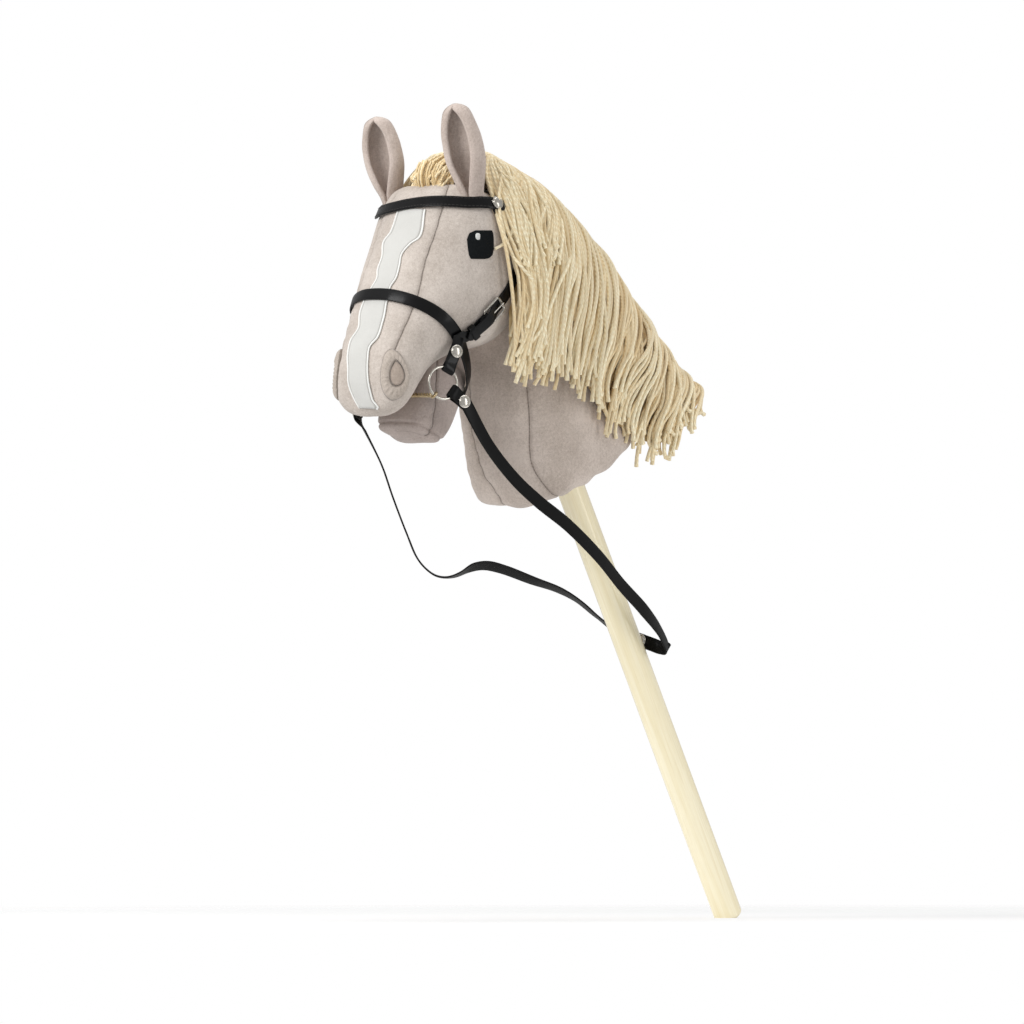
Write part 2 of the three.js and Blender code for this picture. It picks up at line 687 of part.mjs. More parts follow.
// Browband: rows of direction round the head and place along it, higher on the left as it is worn
const browband_shares = [
  [-85, 0.032], [-77, 0.037], [-62, 0.090], [-44, 0.135], [-20, 0.136], [0, 0.122], [25, 0.104],
  [50, 0.080], [68, 0.050], [77, 0.037], [85, 0.032],
];
const [browband_low, browband_high] = [52, 68];
const browband_places = steps(30, -85, 85).map((direction) => {
  const [along] = row_at(browband_shares, direction);
  const low = ramp([[browband_low, over_patch], [browband_high, over_rivet_back + layer + seat_gap]],
    Math.abs(direction));
  return head.round_at(along * head_length, direction, low);
});
const browband_rivet = {
  point: crossing.point.clone().addScaledVector(crossing.normal, over_rivet_back + 2 * layer),
  axis: crossing.normal, grip: 2 * layer + seat_gap };
add('browband', cut(strap(browband_places, strap_width), rivet_hole(browband_rivet),
  mirrored(rivet_hole(browband_rivet))), black_leather);
add('headpiece', cut(headpiece_strap, rivet_hole(browband_rivet), mirrored(rivet_hole(browband_rivet)),
  billet_slot, mirrored(billet_slot)), black_leather);
add_pair('browband_rivet', rivet(...Object.values(browband_rivet)), nickel);

// The ears stand behind the browband, which lies over the seam at their feet
const largest = (geometry) => to_geometry(
  to_solid(geometry).decompose().sort((a, b) => b.volume() - a.volume())[0]);
const browband_room = strap(browband_places.map(({ point, normal }) => ({
  point: point.clone().addScaledVector(normal, -cut_overrun), normal })),
strap_width + 2 * strap_seat, false, 3 * cut_overrun);
for (const [name, ...sizes] of [
  ['left', 1, ear_place_left, ear_turn_left, ear_splay_left, ear_height_left],
  ['right', -1, ear_place_right, ear_turn_right, ear_splay_right, ear_height_right]]) {
  add(`ear_${name}`, largest(cut(ear(...sizes), head_outer, browband_room)), plush);
}

// Noseband: over the nose, down both sides and round under the jaw. The rows behind the sides are
// [along, behind the face line, left] as shares of the head's sizes
const noseband_shares = [
  [0.622, -0.547, 0.373], [0.668, -0.688, 0.313], [0.715, -0.789, 0.246], [0.738, -0.838, 0.159],
  [0.748, -0.848, 0]];
const noseband_top_share = 0.528;
const noseband_side = 99;
const noseband_heart = on_head(0, noseband_shares[0][1] * head_depth, noseband_shares[0][0] * head_length);
const noseband_front = steps(24, -noseband_side, noseband_side).map((direction) => {
  const drop = (cheek_shares[0][0] - noseband_top_share) * (direction / noseband_side) ** 2;
  const low = ramp([[16, over_patch], [36, strap_seat]], Math.abs(direction));
  return head.round_at((noseband_top_share + drop) * head_length, direction, low);
});
const noseband_back = (side) => noseband_shares.map(([along, front, x]) => {
  const point = on_head(side * x * head_width, front * head_depth, along * head_length);
  const normal = point.clone().sub(noseband_heart);
  return { point, normal: normal.addScaledVector(face_down, -normal.dot(face_down)).normalize() };
});
add('noseband', strap([...noseband_front, ...noseband_back(1), ...noseband_back(-1).reverse().slice(1)],
  strap_width, true), black_leather);

// Rings at the corners of the mouth, each toed in a little. Angles round a ring are measured
// from up the face towards the front
const ring_place_share = [0.799, -0.436];
const ring_centre = on_head(ring_spacing / 2,
  ring_place_share[1] * head_depth, ring_place_share[0] * head_length);
const ring_axis = vec(Math.cos(radians(ring_toe_in)), 0, 0)
  .addScaledVector(face_out, Math.sin(radians(ring_toe_in)));
const ring_front = face_out.clone().multiplyScalar(Math.cos(radians(ring_toe_in)))
  .addScaledVector(vec(1, 0, 0), -Math.sin(radians(ring_toe_in)));
const round_ring = (angle) => ring_front.clone().multiplyScalar(Math.sin(radians(angle)))
  .addScaledVector(face_down, -Math.cos(radians(angle)));
const ring_radius = (ring_diameter - ring_wire) / 2;
const on_ring = (angle, reach = ring_radius) => ring_centre.clone().addScaledVector(round_ring(angle), reach);
add_pair('ring', round_loop(ring_centre, ring_axis, ring_radius, ring_wire / 2, 28, 8), nickel);
const ring_sag = (width) => ring_radius - Math.sqrt(ring_radius ** 2 - width ** 2 / 4);
const ring_reach = (width, slack) => ring_wire / 2 + ring_sag(width) + slack;

// Cheekpieces: folded round the buckle's lower bar above, and round the ring below
const cheek_angle = -4;
const lower_heights = [
  [-fold_tail, over_patch + layer],
  [strap_width / 2, over_patch + layer],
  [heel - keeper_place, over_rivet_back],
  [heel - fold_tail, over_rivet_back / 2],
  [heel, buckle_height - buckle_wire / 2 - seat_gap - strap_thickness],
];
const heel_place = crown.at(heel, buckle_height);
const heel_fold = fold_round(heel_place.point, heel_place.ahead.clone().negate(), heel_place.normal,
  buckle_wire / 2 + seat_gap, buckle_wire / 2 + seat_gap, fold_tail, buckle_wire);
const cheek_run = steps(8, heel - fold_tail / 2, 0).map((distance) => {
  const { point, normal } = crown.at(distance, ramp(lower_heights, distance) + strap_thickness);
  return { point, normal: normal.negate() };
});
const ring_fold = fold_round(on_ring(cheek_angle), round_ring(cheek_angle), ring_axis.clone().negate(),
  ring_reach(strap_width, wire_slack), ring_wire / 2 + wire_slack,
  cheek_rivet_reach - ring_radius + rivet_back_diameter / 2 + seat_gap,
  cheek_rivet_reach - ring_radius + rivet_tail);
const cheek_rivet = {
  point: on_ring(cheek_angle, cheek_rivet_reach)
    .addScaledVector(ring_axis, seat_gap / 2 + strap_thickness),
  axis: ring_axis, grip: seat_gap + 2 * strap_thickness };
add_pair('cheekpiece', cut(strap([...heel_fold, ...cheek_run, ...ring_fold], strap_width),
  fold_slot, rivet_hole(cheek_rivet)), black_leather);
add_pair('cheek_rivet', rivet(...Object.values(cheek_rivet)), nickel);

// Buckles: a wire frame, a tongue that turns on its lower bar, and a leather keeper below
const top_place = crown.at(top_bar, buckle_height);
const frame_up = top_place.point.clone().sub(heel_place.point);
const frame_across = frame_up.clone().cross(heel_place.normal.clone().add(top_place.normal)).normalize();
const frame_out = frame_across.clone().cross(frame_up).normalize();
const bar_half = (buckle_width - buckle_wire) / 2;
const corner = buckle_wire;
const frame_point = (across, up, base) => base.clone().addScaledVector(frame_across, across)
  .addScaledVector(frame_up.clone().normalize(), up);
add_pair('buckle_frame', wire_loop([
  frame_point(corner - bar_half, 0, heel_place.point), frame_point(bar_half - corner, 0, heel_place.point),
  frame_point(bar_half, corner, heel_place.point), frame_point(bar_half, -corner, top_place.point),
  frame_point(bar_half - corner, 0, top_place.point), frame_point(corner - bar_half, 0, top_place.point),
  frame_point(-bar_half, -corner, top_place.point), frame_point(-bar_half, corner, heel_place.point),
], buckle_wire / 2, frame_out, 8), nickel);
const tongue_radius = (buckle_wire + tongue_wire) / 2 + seat_gap;
const tongue_tip = top_place.point.clone().addScaledVector(frame_out, tongue_radius)
  .addScaledVector(frame_up.clone().normalize(), buckle_wire);
const tongue_foot = heel_place.point.clone().addScaledVector(frame_out, tongue_radius / 2)
  .addScaledVector(frame_up.clone().normalize(), tongue_radius);
const tongue_line = tongue_tip.clone().sub(tongue_foot);
add_pair('buckle_tongue', joined(
  round_loop(heel_place.point, frame_across, tongue_radius, tongue_wire / 2, 12, 8),
  stood(rod(tongue_wire / 2, 0, tongue_line.length(), 8), tongue_foot, tongue_line)), nickel);

const keeper_frame = crown.at(heel - keeper_place, 0);
const keeper_across = keeper_frame.ahead.clone().cross(keeper_frame.normal);
const keeper_half = strap_width / 2 + wire_slack;
const keeper_low = over_rivet_back - 2 * seat_gap;
const keeper_high = over_rivet_back + layer + keeper_thickness + strap_thickness + seat_gap;
const keeper_middle = (keeper_low + keeper_high) / 2;
const keeper_deep = (keeper_high - keeper_low) / 2;
add_pair('strap_keeper', strap([[1, 0], [0, 1], [-1, 0], [0, -1]].flatMap(([x, y]) => [-1, 1].map((turn) => {
  const across = x * keeper_half - turn * y * (keeper_half - seat_gap);
  const out = y * keeper_deep + turn * x * (keeper_deep - seat_gap);
  return {
    point: keeper_frame.point.clone().addScaledVector(keeper_across, across)
      .addScaledVector(keeper_frame.normal, keeper_middle + out),
    normal: keeper_across.clone().multiplyScalar(x).addScaledVector(keeper_frame.normal, y),
  };
})), keeper_width, true, keeper_thickness), black_leather);

// Bit: a wire through the mouth with an eye round each ring
const bit_angle = 162;
const bit_eye_radius = (ring_wire + bit_eye_wire) / 2 + wire_slack;
const bit_end = on_ring(bit_angle);
const bit_eye_axis = round_ring(bit_angle + 90);
const bit_eye = round_loop(bit_end, bit_eye_axis, bit_eye_radius, bit_eye_wire / 2, 14, 8);
const bit_half = bit_end.x - bit_eye_radius;
add('bit', joined(bit_eye, mirrored(bit_eye),
  stood(rod(bit_wire / 2, -bit_half, bit_half, 10), vec(0, bit_end.y, bit_end.z), vec(1, 0, 0))), brass_wire);

// Reins: each is folded round its ring, riveted there, and runs to the join behind the stick.
// They hang free, so they are laid out upright. Rows: along the line from ring to join, out to the
// left of it and above it, as shares of its length, and the way the strap's outer face looks
const rein_left_shares = [
  [0.11, 0.027, -0.047, 1, 0, 0],
  [0.215, 0.055, -0.07, 1, 0, 0],
  [0.318, 0.073, -0.067, 1, 0, 0],
  [0.439, 0.094, -0.053, 1, 0.1, 0],
  [0.592, 0.102, -0.039, 1, 0.15, 0],
  [0.723, 0.097, -0.03, 1, 0.2, 0],
  [0.848, 0.095, -0.017, 1, 0.25, -0.1],
  [0.947, 0.087, -0.01, 0.96, 0.17, -0.21],
  [1.008, 0.08, -0.016, 0.96, 0.17, -0.21],
  [1.016, 0.077, -0.016, 0.39, 0.67, -0.63],
  [1.015, 0.068, -0.015, -0.39, 0.67, -0.63],
];
const rein_right_shares = [
  [0.13, -0.009, -0.057, -0.69, -0.6, -0.4],
  [0.207, -0.022, -0.099, -0.69, -0.6, -0.4],
  [0.3, -0.036, -0.147, -0.75, -0.5, -0.4],
  [0.367, -0.046, -0.177, -0.85, -0.3, -0.4],
  [0.426, -0.057, -0.179, -0.9, 0, -0.45],
  [0.463, -0.064, -0.165, -0.9, 0, -0.45],
  [0.495, -0.068, -0.137, -0.85, 0, -0.5],
  [0.521, -0.07, -0.1, -0.75, 0, -0.65],
  [0.552, -0.068, -0.073, -0.6, 0, -0.8],
  [0.6, -0.065, -0.053, -0.5, -0.1, -0.85],
  [0.687, -0.06, -0.029, -0.35, -0.25, -0.9],
  [0.759, -0.055, -0.008, -0.2, -0.4, -0.9],
  [0.822, -0.051, -0.0, 0, -0.6, -0.8],
  [0.9, -0.046, -0.003, 0.25, -0.8, -0.5],
];
const join_ahead = vec(-0.92, -0.257, 0.292).normalize();
const join_out = vec(-0.295, 0.952, -0.085).normalize();
const join_point = lean_over(vec(-rein_join_side, stick_diameter / 2 + rein_join_back, rein_join_height));
const rein_grip = seat_gap + 2 * strap_thickness;
const rein_angles = { left: -107, right: -156 };

function rein(side, angle, rows, ending) {
  const to_world = (v) => lean_over(vec(side * v.x, v.y, v.z));
  const fold = fold_round(on_ring(angle), round_ring(angle), ring_axis,
    ring_reach(rein_width, rein_slack), ring_wire / 2 + rein_slack,
    rein_rivet_reach - ring_radius + rivet_tail / 2, rein_rivet_reach - ring_radius + rivet_tail)
    .map(({ point, normal }) => ({ point: to_world(point), normal: to_world(normal) }));
  const from = fold[0].point;
  const line = join_point.clone().sub(from);
  const ahead = line.clone().normalize();
  const up = vec(0, 0, 1).addScaledVector(ahead, -ahead.z).normalize();
  const left = ahead.clone().cross(up);
  const course = course_over([fold[0], ...rows.map(([along, out, above, x, y, z]) => ({
    point: from.clone().addScaledVector(line, along).addScaledVector(left, out * line.length())
      .addScaledVector(up, above * line.length()),
    normal: vec(x, y, z),
  })), ...ending]);
  const places = [
    ...steps(26, 0, course.length - rein_fine).slice(1),
    ...steps(18, course.length - rein_fine, course.length).slice(1),
  ];
  const run = places.map((distance) => course.at(distance, 0)).reverse();
  return strap([...run, ...fold], rein_width);
}
const join_places = (ends, depth, normal) => ends.map((distance) => ({
  point: join_point.clone().addScaledVector(join_ahead, distance).addScaledVector(join_out, depth),
  normal }));
const join_left = join_places([-2 * rein_overlap, 0, rein_overlap], 0, join_out);
const join_right = join_places([2 * rein_overlap, 0, -rein_overlap], rein_grip, join_out.clone().negate());
const join_rivet = { point: join_point, axis: join_out.clone().negate(), grip: rein_grip + seat_gap };
const rein_rivet = (side, angle) => ({
  point: lean_over(on_ring(angle, rein_rivet_reach).addScaledVector(ring_axis, seat_gap / 2 + strap_thickness)
    .multiply(vec(side, 1, 1))),
  axis: lean_over(ring_axis.clone().multiply(vec(side, 1, 1))), grip: rein_grip });
for (const [name, side, rows, ending] of [
  ['left', 1, rein_left_shares, join_left], ['right', -1, rein_right_shares, join_right]]) {
  const held = rein_rivet(side, rein_angles[name]);
  add(`rein_${name}`, cut(rein(side, rein_angles[name], rows, ending), rivet_hole(held),
    rivet_hole(join_rivet)), black_leather, upright);
  add(`rein_rivet_${name}`, rivet(...Object.values(held)), nickel, upright);
}
add('rein_join_rivet', rivet(...Object.values(join_rivet)), nickel, upright);

// Mane: two curtains of yarn that meet along the crest, on a tape sewn down the back of the neck.
// Rows: place up it, front edge, back edge and half width, as shares of its height, depth and width
const mane_shares = [
  [0, 0.553, 0.674, 0.215],
  [0.017, 0.453, 0.842, 0.278],
  [0.070, 0.326, 0.968, 0.329],
  [0.139, 0.189, 0.900, 0.380],
  [0.197, 0.095, 0.853, 0.418],
  [0.293, 0.079, 0.784, 0.468],
  [0.342, 0.042, 0.768, 0.481],
  [0.377, -0.105, 0.753, 0.490],
  [0.446, -0.250, 0.726, 0.500],
  [0.565, -0.310, 0.663, 0.500],
  [0.649, -0.250, 0.589, 0.494],
  [0.742, -0.190, 0.505, 0.475],
  [0.835, -0.110, 0.400, 0.443],
  [0.896, -0.050, 0.295, 0.399],
  [0.945, -0.020, 0.216, 0.342],
  [0.986, 0.032, 0.142, 0.241],
  [1.0, 0.063, 0.105, 0.158],
];
const curtain_power = 1.4;
const mane_foot_height = neck_foot_height - mane_foot_drop;
const mane_height = poll_height - mane_top_drop - mane_foot_height;
const round_out = (value) => Math.sign(value) * Math.abs(value) ** (2 / curtain_power);
const mane_ring = ([height, front, back, half]) => {
  const middle = front + 0.4 * (back - front);
  const arc = steps(12, 0, 180).map((turn) => [
    half * round_out(Math.cos(radians(turn))),
    middle + (back - middle) * round_out(Math.sin(radians(turn)))]);
  return [[half, front], ...arc, [-half, front]].map(([x, y]) =>
    vec(x * mane_width, y * mane_depth, mane_foot_height + height * mane_height));
};
const mane_whole = skin_over(mane_shares.map(mane_ring));
const right_side = new THREE.BoxGeometry(mane_width, 2 * mane_depth, 2 * mane_height)
  .translate((seat_gap - mane_width) / 2, 0, mane_foot_height + mane_height / 2);
const rivet_room = stood(rod(rivet_diameter / 2 + strap_seat, -cut_overrun, rivet_height + strap_seat, 12),
  browband_rivet.point, browband_rivet.axis);
const curtain = largest(cut(mane_whole, neck.solid(mane_lift, 14, 24), head.solid(mane_head_lift, 22, 24),
  right_side, rivet_room));
add_pair('mane', curtain, yarn);
add('mane_tape', patch(steps(18, 0.08, 0.97).map((along) => steps(3, 0.5, -0.5).map((x) =>
  neck.front_at(along * neck_length, x * mane_tape_width))), patch_seat, mane_tape_thickness), yarn);

// Forelock: a tuft of the same yarn between the ears, in front of the mane
const forelock_shares = [
  [0, -0.62, -0.10, 0.20],
  [0.13, -0.78, -0.02, 0.36],
  [0.34, -0.84, 0.08, 0.48],
  [0.61, -0.80, 0.22, 0.50],
  [0.79, -0.68, 0.24, 0.42],
  [0.92, -0.52, 0.14, 0.26],
  [1.0, -0.40, -0.05, 0.12],
];
const forelock_body = skin_over(forelock_shares.map(([height, front, back, half]) => steps(15).slice(1)
  .map((share) => {
    const turn = 2 * Math.PI * share;
    return vec(half * forelock_width * Math.cos(turn),
      ((front + back) / 2 + (back - front) / 2 * Math.sin(turn)) * forelock_depth,
      poll_height - forelock_foot_drop + height * forelock_height);
  })));
add('forelock', largest(cut(forelock_body, head.solid(strap_seat + layer, 22, 24),
  mane_whole.translate(0, -2 * seat_gap, 0))), yarn);

upright.add(leaning);
export default upright;
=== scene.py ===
import math

import bpy
import numpy as np
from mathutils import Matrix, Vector


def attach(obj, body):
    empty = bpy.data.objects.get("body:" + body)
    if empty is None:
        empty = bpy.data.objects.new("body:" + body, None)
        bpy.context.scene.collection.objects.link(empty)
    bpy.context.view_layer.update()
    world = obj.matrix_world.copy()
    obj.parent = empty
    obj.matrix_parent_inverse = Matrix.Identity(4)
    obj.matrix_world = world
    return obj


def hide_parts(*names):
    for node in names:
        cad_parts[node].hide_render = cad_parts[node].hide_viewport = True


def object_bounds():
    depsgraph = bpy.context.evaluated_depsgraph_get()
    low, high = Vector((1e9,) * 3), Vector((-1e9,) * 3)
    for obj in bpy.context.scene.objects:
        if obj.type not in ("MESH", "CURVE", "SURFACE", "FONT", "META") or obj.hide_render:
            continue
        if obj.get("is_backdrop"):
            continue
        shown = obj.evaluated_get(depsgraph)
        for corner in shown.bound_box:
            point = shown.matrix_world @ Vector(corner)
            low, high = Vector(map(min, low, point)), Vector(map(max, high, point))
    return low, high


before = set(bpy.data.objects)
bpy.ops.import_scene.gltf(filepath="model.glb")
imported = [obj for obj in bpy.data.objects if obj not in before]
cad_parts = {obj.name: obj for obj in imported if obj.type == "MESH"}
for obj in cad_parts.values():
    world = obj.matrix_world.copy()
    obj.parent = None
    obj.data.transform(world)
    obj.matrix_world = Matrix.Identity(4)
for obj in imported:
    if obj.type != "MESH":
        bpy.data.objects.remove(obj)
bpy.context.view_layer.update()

# Camera: level with the toy at the photograph's angle, far off with a long lens. Lengths are in
# metres, and places named by a pixel are read on the photograph's 1024 by 1024 frame.
pixel, picture = 0.000874, 1024
foot_pixel = (730.5, 920)
lens, sensor_width, subject_depth, view_end = 1350, 36, 0.18, 100
view_turn = math.radians(46)
view_right = np.array((math.cos(view_turn), math.sin(view_turn), 0))
view_back = np.array((math.sin(view_turn), -math.cos(view_turn), 0))
up = np.array((0.0, 0.0, 1.0))


def seen(x, y, depth=0.0):
    """The point seen at a pixel, at a depth towards the camera"""
    return view_right * (x - foot_pixel[0]) * pixel + up * (foot_pixel[1] - y) * pixel + view_back * depth


camera = bpy.data.objects.new("camera", bpy.data.cameras.new("camera"))
bpy.context.scene.collection.objects.link(camera)
bpy.context.scene.camera = camera
camera.data.sensor_width, camera.data.lens, camera.data.clip_end = sensor_width, lens, view_end
camera.location = seen(picture / 2, picture / 2, subject_depth + picture * pixel * lens / sensor_width)
camera.rotation_euler = Vector(view_back).to_track_quat("Z", "Y").to_euler()

# Studio: a white room, one large soft light above the horse's face, a strip light at the right
# that draws the long gloss down the stick, and a pale floor that fades out round the foot.
bpy.context.scene.view_settings.view_transform = "Standard"
bpy.context.scene.view_settings.look = "None"
white, room_strength, shown_strength = (1, 1, 1, 1), 0.62, 1.0
horse_pixel, horse_depth = (512, 430), 0.13
aim = Vector(seen(*horse_pixel, horse_depth))


class Wire:
    """A socket in a node tree. Sums of wires and numbers write their own Math nodes"""

    def __init__(self, nodes, socket):
        self.nodes, self.socket = nodes, socket

    def maths(self, kind, *values):
        return self.nodes.add("ShaderNodeMath", {"operation": kind}, 0, *values)

    __add__ = __radd__ = lambda self, other: self.maths("ADD", self, other)
    __mul__ = __rmul__ = lambda self, other: self.maths("MULTIPLY", self, other)
    __sub__ = lambda self, other: self.maths("SUBTRACT", self, other)
    __rsub__ = lambda self, other: self.maths("SUBTRACT", other, self)
    __abs__ = lambda self: self.maths("ABSOLUTE", self)

    def wave(self, length):
        """A sine wave from -1 to 1 that repeats after a length"""
        return self.maths("SINE", self * (2 * math.pi / length))

    def rise(self, low, high):
        """0 below low and 1 above high, smooth between"""
        return self.nodes.add("ShaderNodeMapRange", {"interpolation_type": "SMOOTHSTEP"}, 0, self, low, high)


class Nodes:
    """A node tree. A node is added by its type, its settings and the values of its inputs"""

    def __init__(self, tree):
        self.tree = tree

    def feed(self, slot, value):
        if isinstance(value, Wire):
            self.tree.links.new(value.socket, slot)
        else:
            slot.default_value = value

    def add(self, kind, settings=None, out=0, *inputs, **named):
        made = self.tree.nodes.new(kind)
        for name, value in (settings or {}).items():
            setattr(made, name, value)
        for slot, value in zip(made.inputs, inputs):
            if value is not None:
                self.feed(slot, value)
        for name, value in named.items():
            self.feed(made.inputs[name.replace("_", " ")], value)
        return Wire(self, made.outputs[out])

    def end(self, node, value):
        self.feed(self.tree.nodes[node].inputs[0], value)


class Finish(Nodes):
    """A material with one surface shader, whose plain values are named when it is made"""

    def __init__(self, name, **plain):
        self.material = bpy.data.materials.new(name)
        self.material.use_nodes = True
        super().__init__(self.material.node_tree)
        self.shader = self.tree.nodes["Principled BSDF"]
        self.surface(**plain)
        self.place = self.add("ShaderNodeTexCoord", {}, "Object")

    def surface(self, **values):
        for name, value in values.items():
            self.feed(self.shader.inputs[name.replace("_", " ")], value)

    def noise(self, scale, detail=2.0, rough=0.5, place=None):
        return self.add("ShaderNodeTexNoise", {}, "Fac", Vector=place or self.place, Scale=scale,
                        Detail=detail, Roughness=rough)

    def mark(self, name):
        return self.add("ShaderNodeAttribute", {"attribute_name": name}, "Fac")

    def mix(self, low, high, share):
        return self.add("ShaderNodeMix", {"data_type": "RGBA"}, 2, share, *[None] * 5, low, high)

    def bump(self, height, distance, strength=1.0):
        self.surface(Normal=self.add("ShaderNodeBump", {}, 0, Height=height, Distance=distance,
                                     Strength=strength))


def dye(red, green, blue):
    """A colour as read on the photograph, 0 to 255, in the renderer's linear values"""
    return (*[((v / 255 + 0.055) / 1.055) ** 2.4 if v > 10 else v / 3294.6 for v in (red, green, blue)], 1)


room = bpy.data.worlds.new("room")
bpy.context.scene.world = room
room.use_nodes = True
room_nodes = Nodes(room.node_tree)
lit, shown = (room_nodes.add("ShaderNodeBackground", {}, 0, white, strength)
              for strength in (room_strength, shown_strength))
to_camera = room_nodes.add("ShaderNodeLightPath", {}, "Is Camera Ray")
room_nodes.end("World Output", room_nodes.add("ShaderNodeMixShader", {}, 0, to_camera, lit, shown))
room_nodes.tree.nodes.remove(room_nodes.tree.nodes["Background"])
for name, across, rise, towards, width, height, power in (
        ("key_light", -1.9, 1.3, 1.3, 1.3, 1.3, 46), ("strip_light", 1.9, 0.25, 1.1, 0.45, 2.0, 10),
        ("top_light", 0.2, 2.2, -0.3, 1.6, 1.6, 16)):
    lamp = bpy.data.objects.new(name, bpy.data.lights.new(name, "AREA"))
    bpy.context.scene.collection.objects.link(lamp)
    lamp.data.shape = "RECTANGLE"
    lamp.data.size, lamp.data.size_y, lamp.data.energy = width, height, power
    lamp.location = aim + Vector(view_right * across + up * rise + view_back * towards)
    lamp.rotation_euler = (lamp.location - aim).to_track_quat("Z", "Y").to_euler()
floor_half, fade_start, fade_end = 3, 0.35, 1.3
floor_mesh = bpy.data.meshes.new("floor")
floor_corners = [(x * floor_half, y * floor_half, 0) for x, y in ((-1, -1), (1, -1), (1, 1), (-1, 1))]
floor_mesh.from_pydata(floor_corners, [], [(0, 1, 2, 3)])
floor = bpy.data.objects.new("floor", floor_mesh)
bpy.context.scene.collection.objects.link(floor)
paper = Finish("floor_paper", Base_Color=dye(244, 244, 244), Roughness=0.9)
from_foot = paper.add("ShaderNodeVectorMath", {"operation": "LENGTH"}, "Value", paper.place)
clear = paper.add("ShaderNodeBsdfTransparent")
solid = Wire(paper, paper.shader.outputs[0])
fade = from_foot.rise(fade_start, fade_end)
paper.end("Material Output", paper.add("ShaderNodeMixShader", {}, 0, fade, solid, clear))
floor_mesh.materials.append(paper.material)
floor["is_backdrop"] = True

# Reins: two flat black straps, each folded round its mouth ring and riveted there. They hang in
# a slack line to one rivet behind the stick. Cut leather with rubbed edges and a fine grain.
lean = math.radians(27.2)
seat_gap = 0.00035
strap_thickness, strap_width, rein_width, strap_crown = 0.0014, 0.011, 0.012, 0.00012
ring_diameter, ring_wire = 0.0306, 0.0024
ring_radius = (ring_diameter - ring_wire) / 2
ring_centre = np.array((0.0515, -0.39874, 0.46896))
ring_axis = np.array((0.96593, -0.23644, 0.10527))
both_sides = (("left", 1), ("right", -1))
far_off = 0.02


def lean_over(p):
    """From the stick's own frame to the world, where the stick leans forward"""
    p = np.asarray(p, float)
    c, s = math.cos(lean), math.sin(lean)
    return np.stack([p[..., 0], c * p[..., 1] - s * p[..., 2], s * p[..., 1] + c * p[..., 2]], -1)


def unit(v):
    v = np.asarray(v, float)
    return v / np.maximum(np.linalg.norm(v, axis=-1, keepdims=True), 1e-12)


def reach_along(points):
    """How far along a line each of its points is"""
    return np.concatenate([[0], np.cumsum(np.linalg.norm(np.diff(points, axis=0), axis=1))])


def read(places, marks, table):
    """Rows of a table at places between its marks"""
    return np.stack([np.interp(places, marks, column) for column in np.asarray(table).T], -1)


def dome(share):
    """A quarter circle's height, from 0 at its edge to 1"""
    return np.sqrt(np.clip(1 - (1 - np.clip(share, 0, 1)) ** 2, 0, 1))


def settle(made, body, replaces):
    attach(made, body)
    if replaces:
        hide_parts(*replaces)


def add_marks(mesh, marks):
    for mark, values in marks.items():
        layer = mesh.attributes.new(mark, "FLOAT", "POINT")
        layer.data.foreach_set("value", np.asarray(values, np.float32))


def piece(name, rings, finish, slot, body="horse", looped=False, marks=None, replaces=None, tips=None):
    """A closed skin over rings of points. It rides a body and stands for the CAD node of its own
    name or for those named. Its slot is not used. Marks hold a number for each point"""
    rings = np.asarray(rings)
    count, around = rings.shape[:2]
    points, faces, caps = rings.reshape(-1, 3), [], [] if looped else [0, 0]
    for k in range(count - len(caps) // 2):
        low, high = k * around, (k + 1) % count * around
        faces += [(low + i, low + (i + 1) % around, high + (i + 1) % around, high + i) for i in range(around)]
    if caps:
        points = np.vstack([points, *(tips or (rings[0].mean(0), rings[-1].mean(0)))])
        start, last = count * around, (count - 1) * around
        faces += [(start, (i + 1) % around, i) for i in range(around)]
        faces += [(start + 1, last + i, last + (i + 1) % around) for i in range(around)]
    mesh = bpy.data.meshes.new(name)
    mesh.from_pydata(points.tolist(), [], faces)
    add_marks(mesh, {mark: np.append(values, [far_off if mark == "seam" else 0 for _ in caps])
                     for mark, values in (marks or {}).items()})
    mesh.polygons.foreach_set("use_smooth", [True] * len(mesh.polygons))
    mesh.materials.append(finish.material)
    made = bpy.data.objects.new(f"fine_{name}", mesh)
    bpy.context.scene.collection.objects.link(made)
    mesh.calc_loop_triangles()
    a, b, c = np.moveaxis(points[np.array([t.vertices for t in mesh.loop_triangles])], 1, 0)
    if np.sum(a * np.cross(b, c)) < 0:
        mesh.flip_normals()
    settle(made, body, [name] if replaces is None else replaces)
    return made


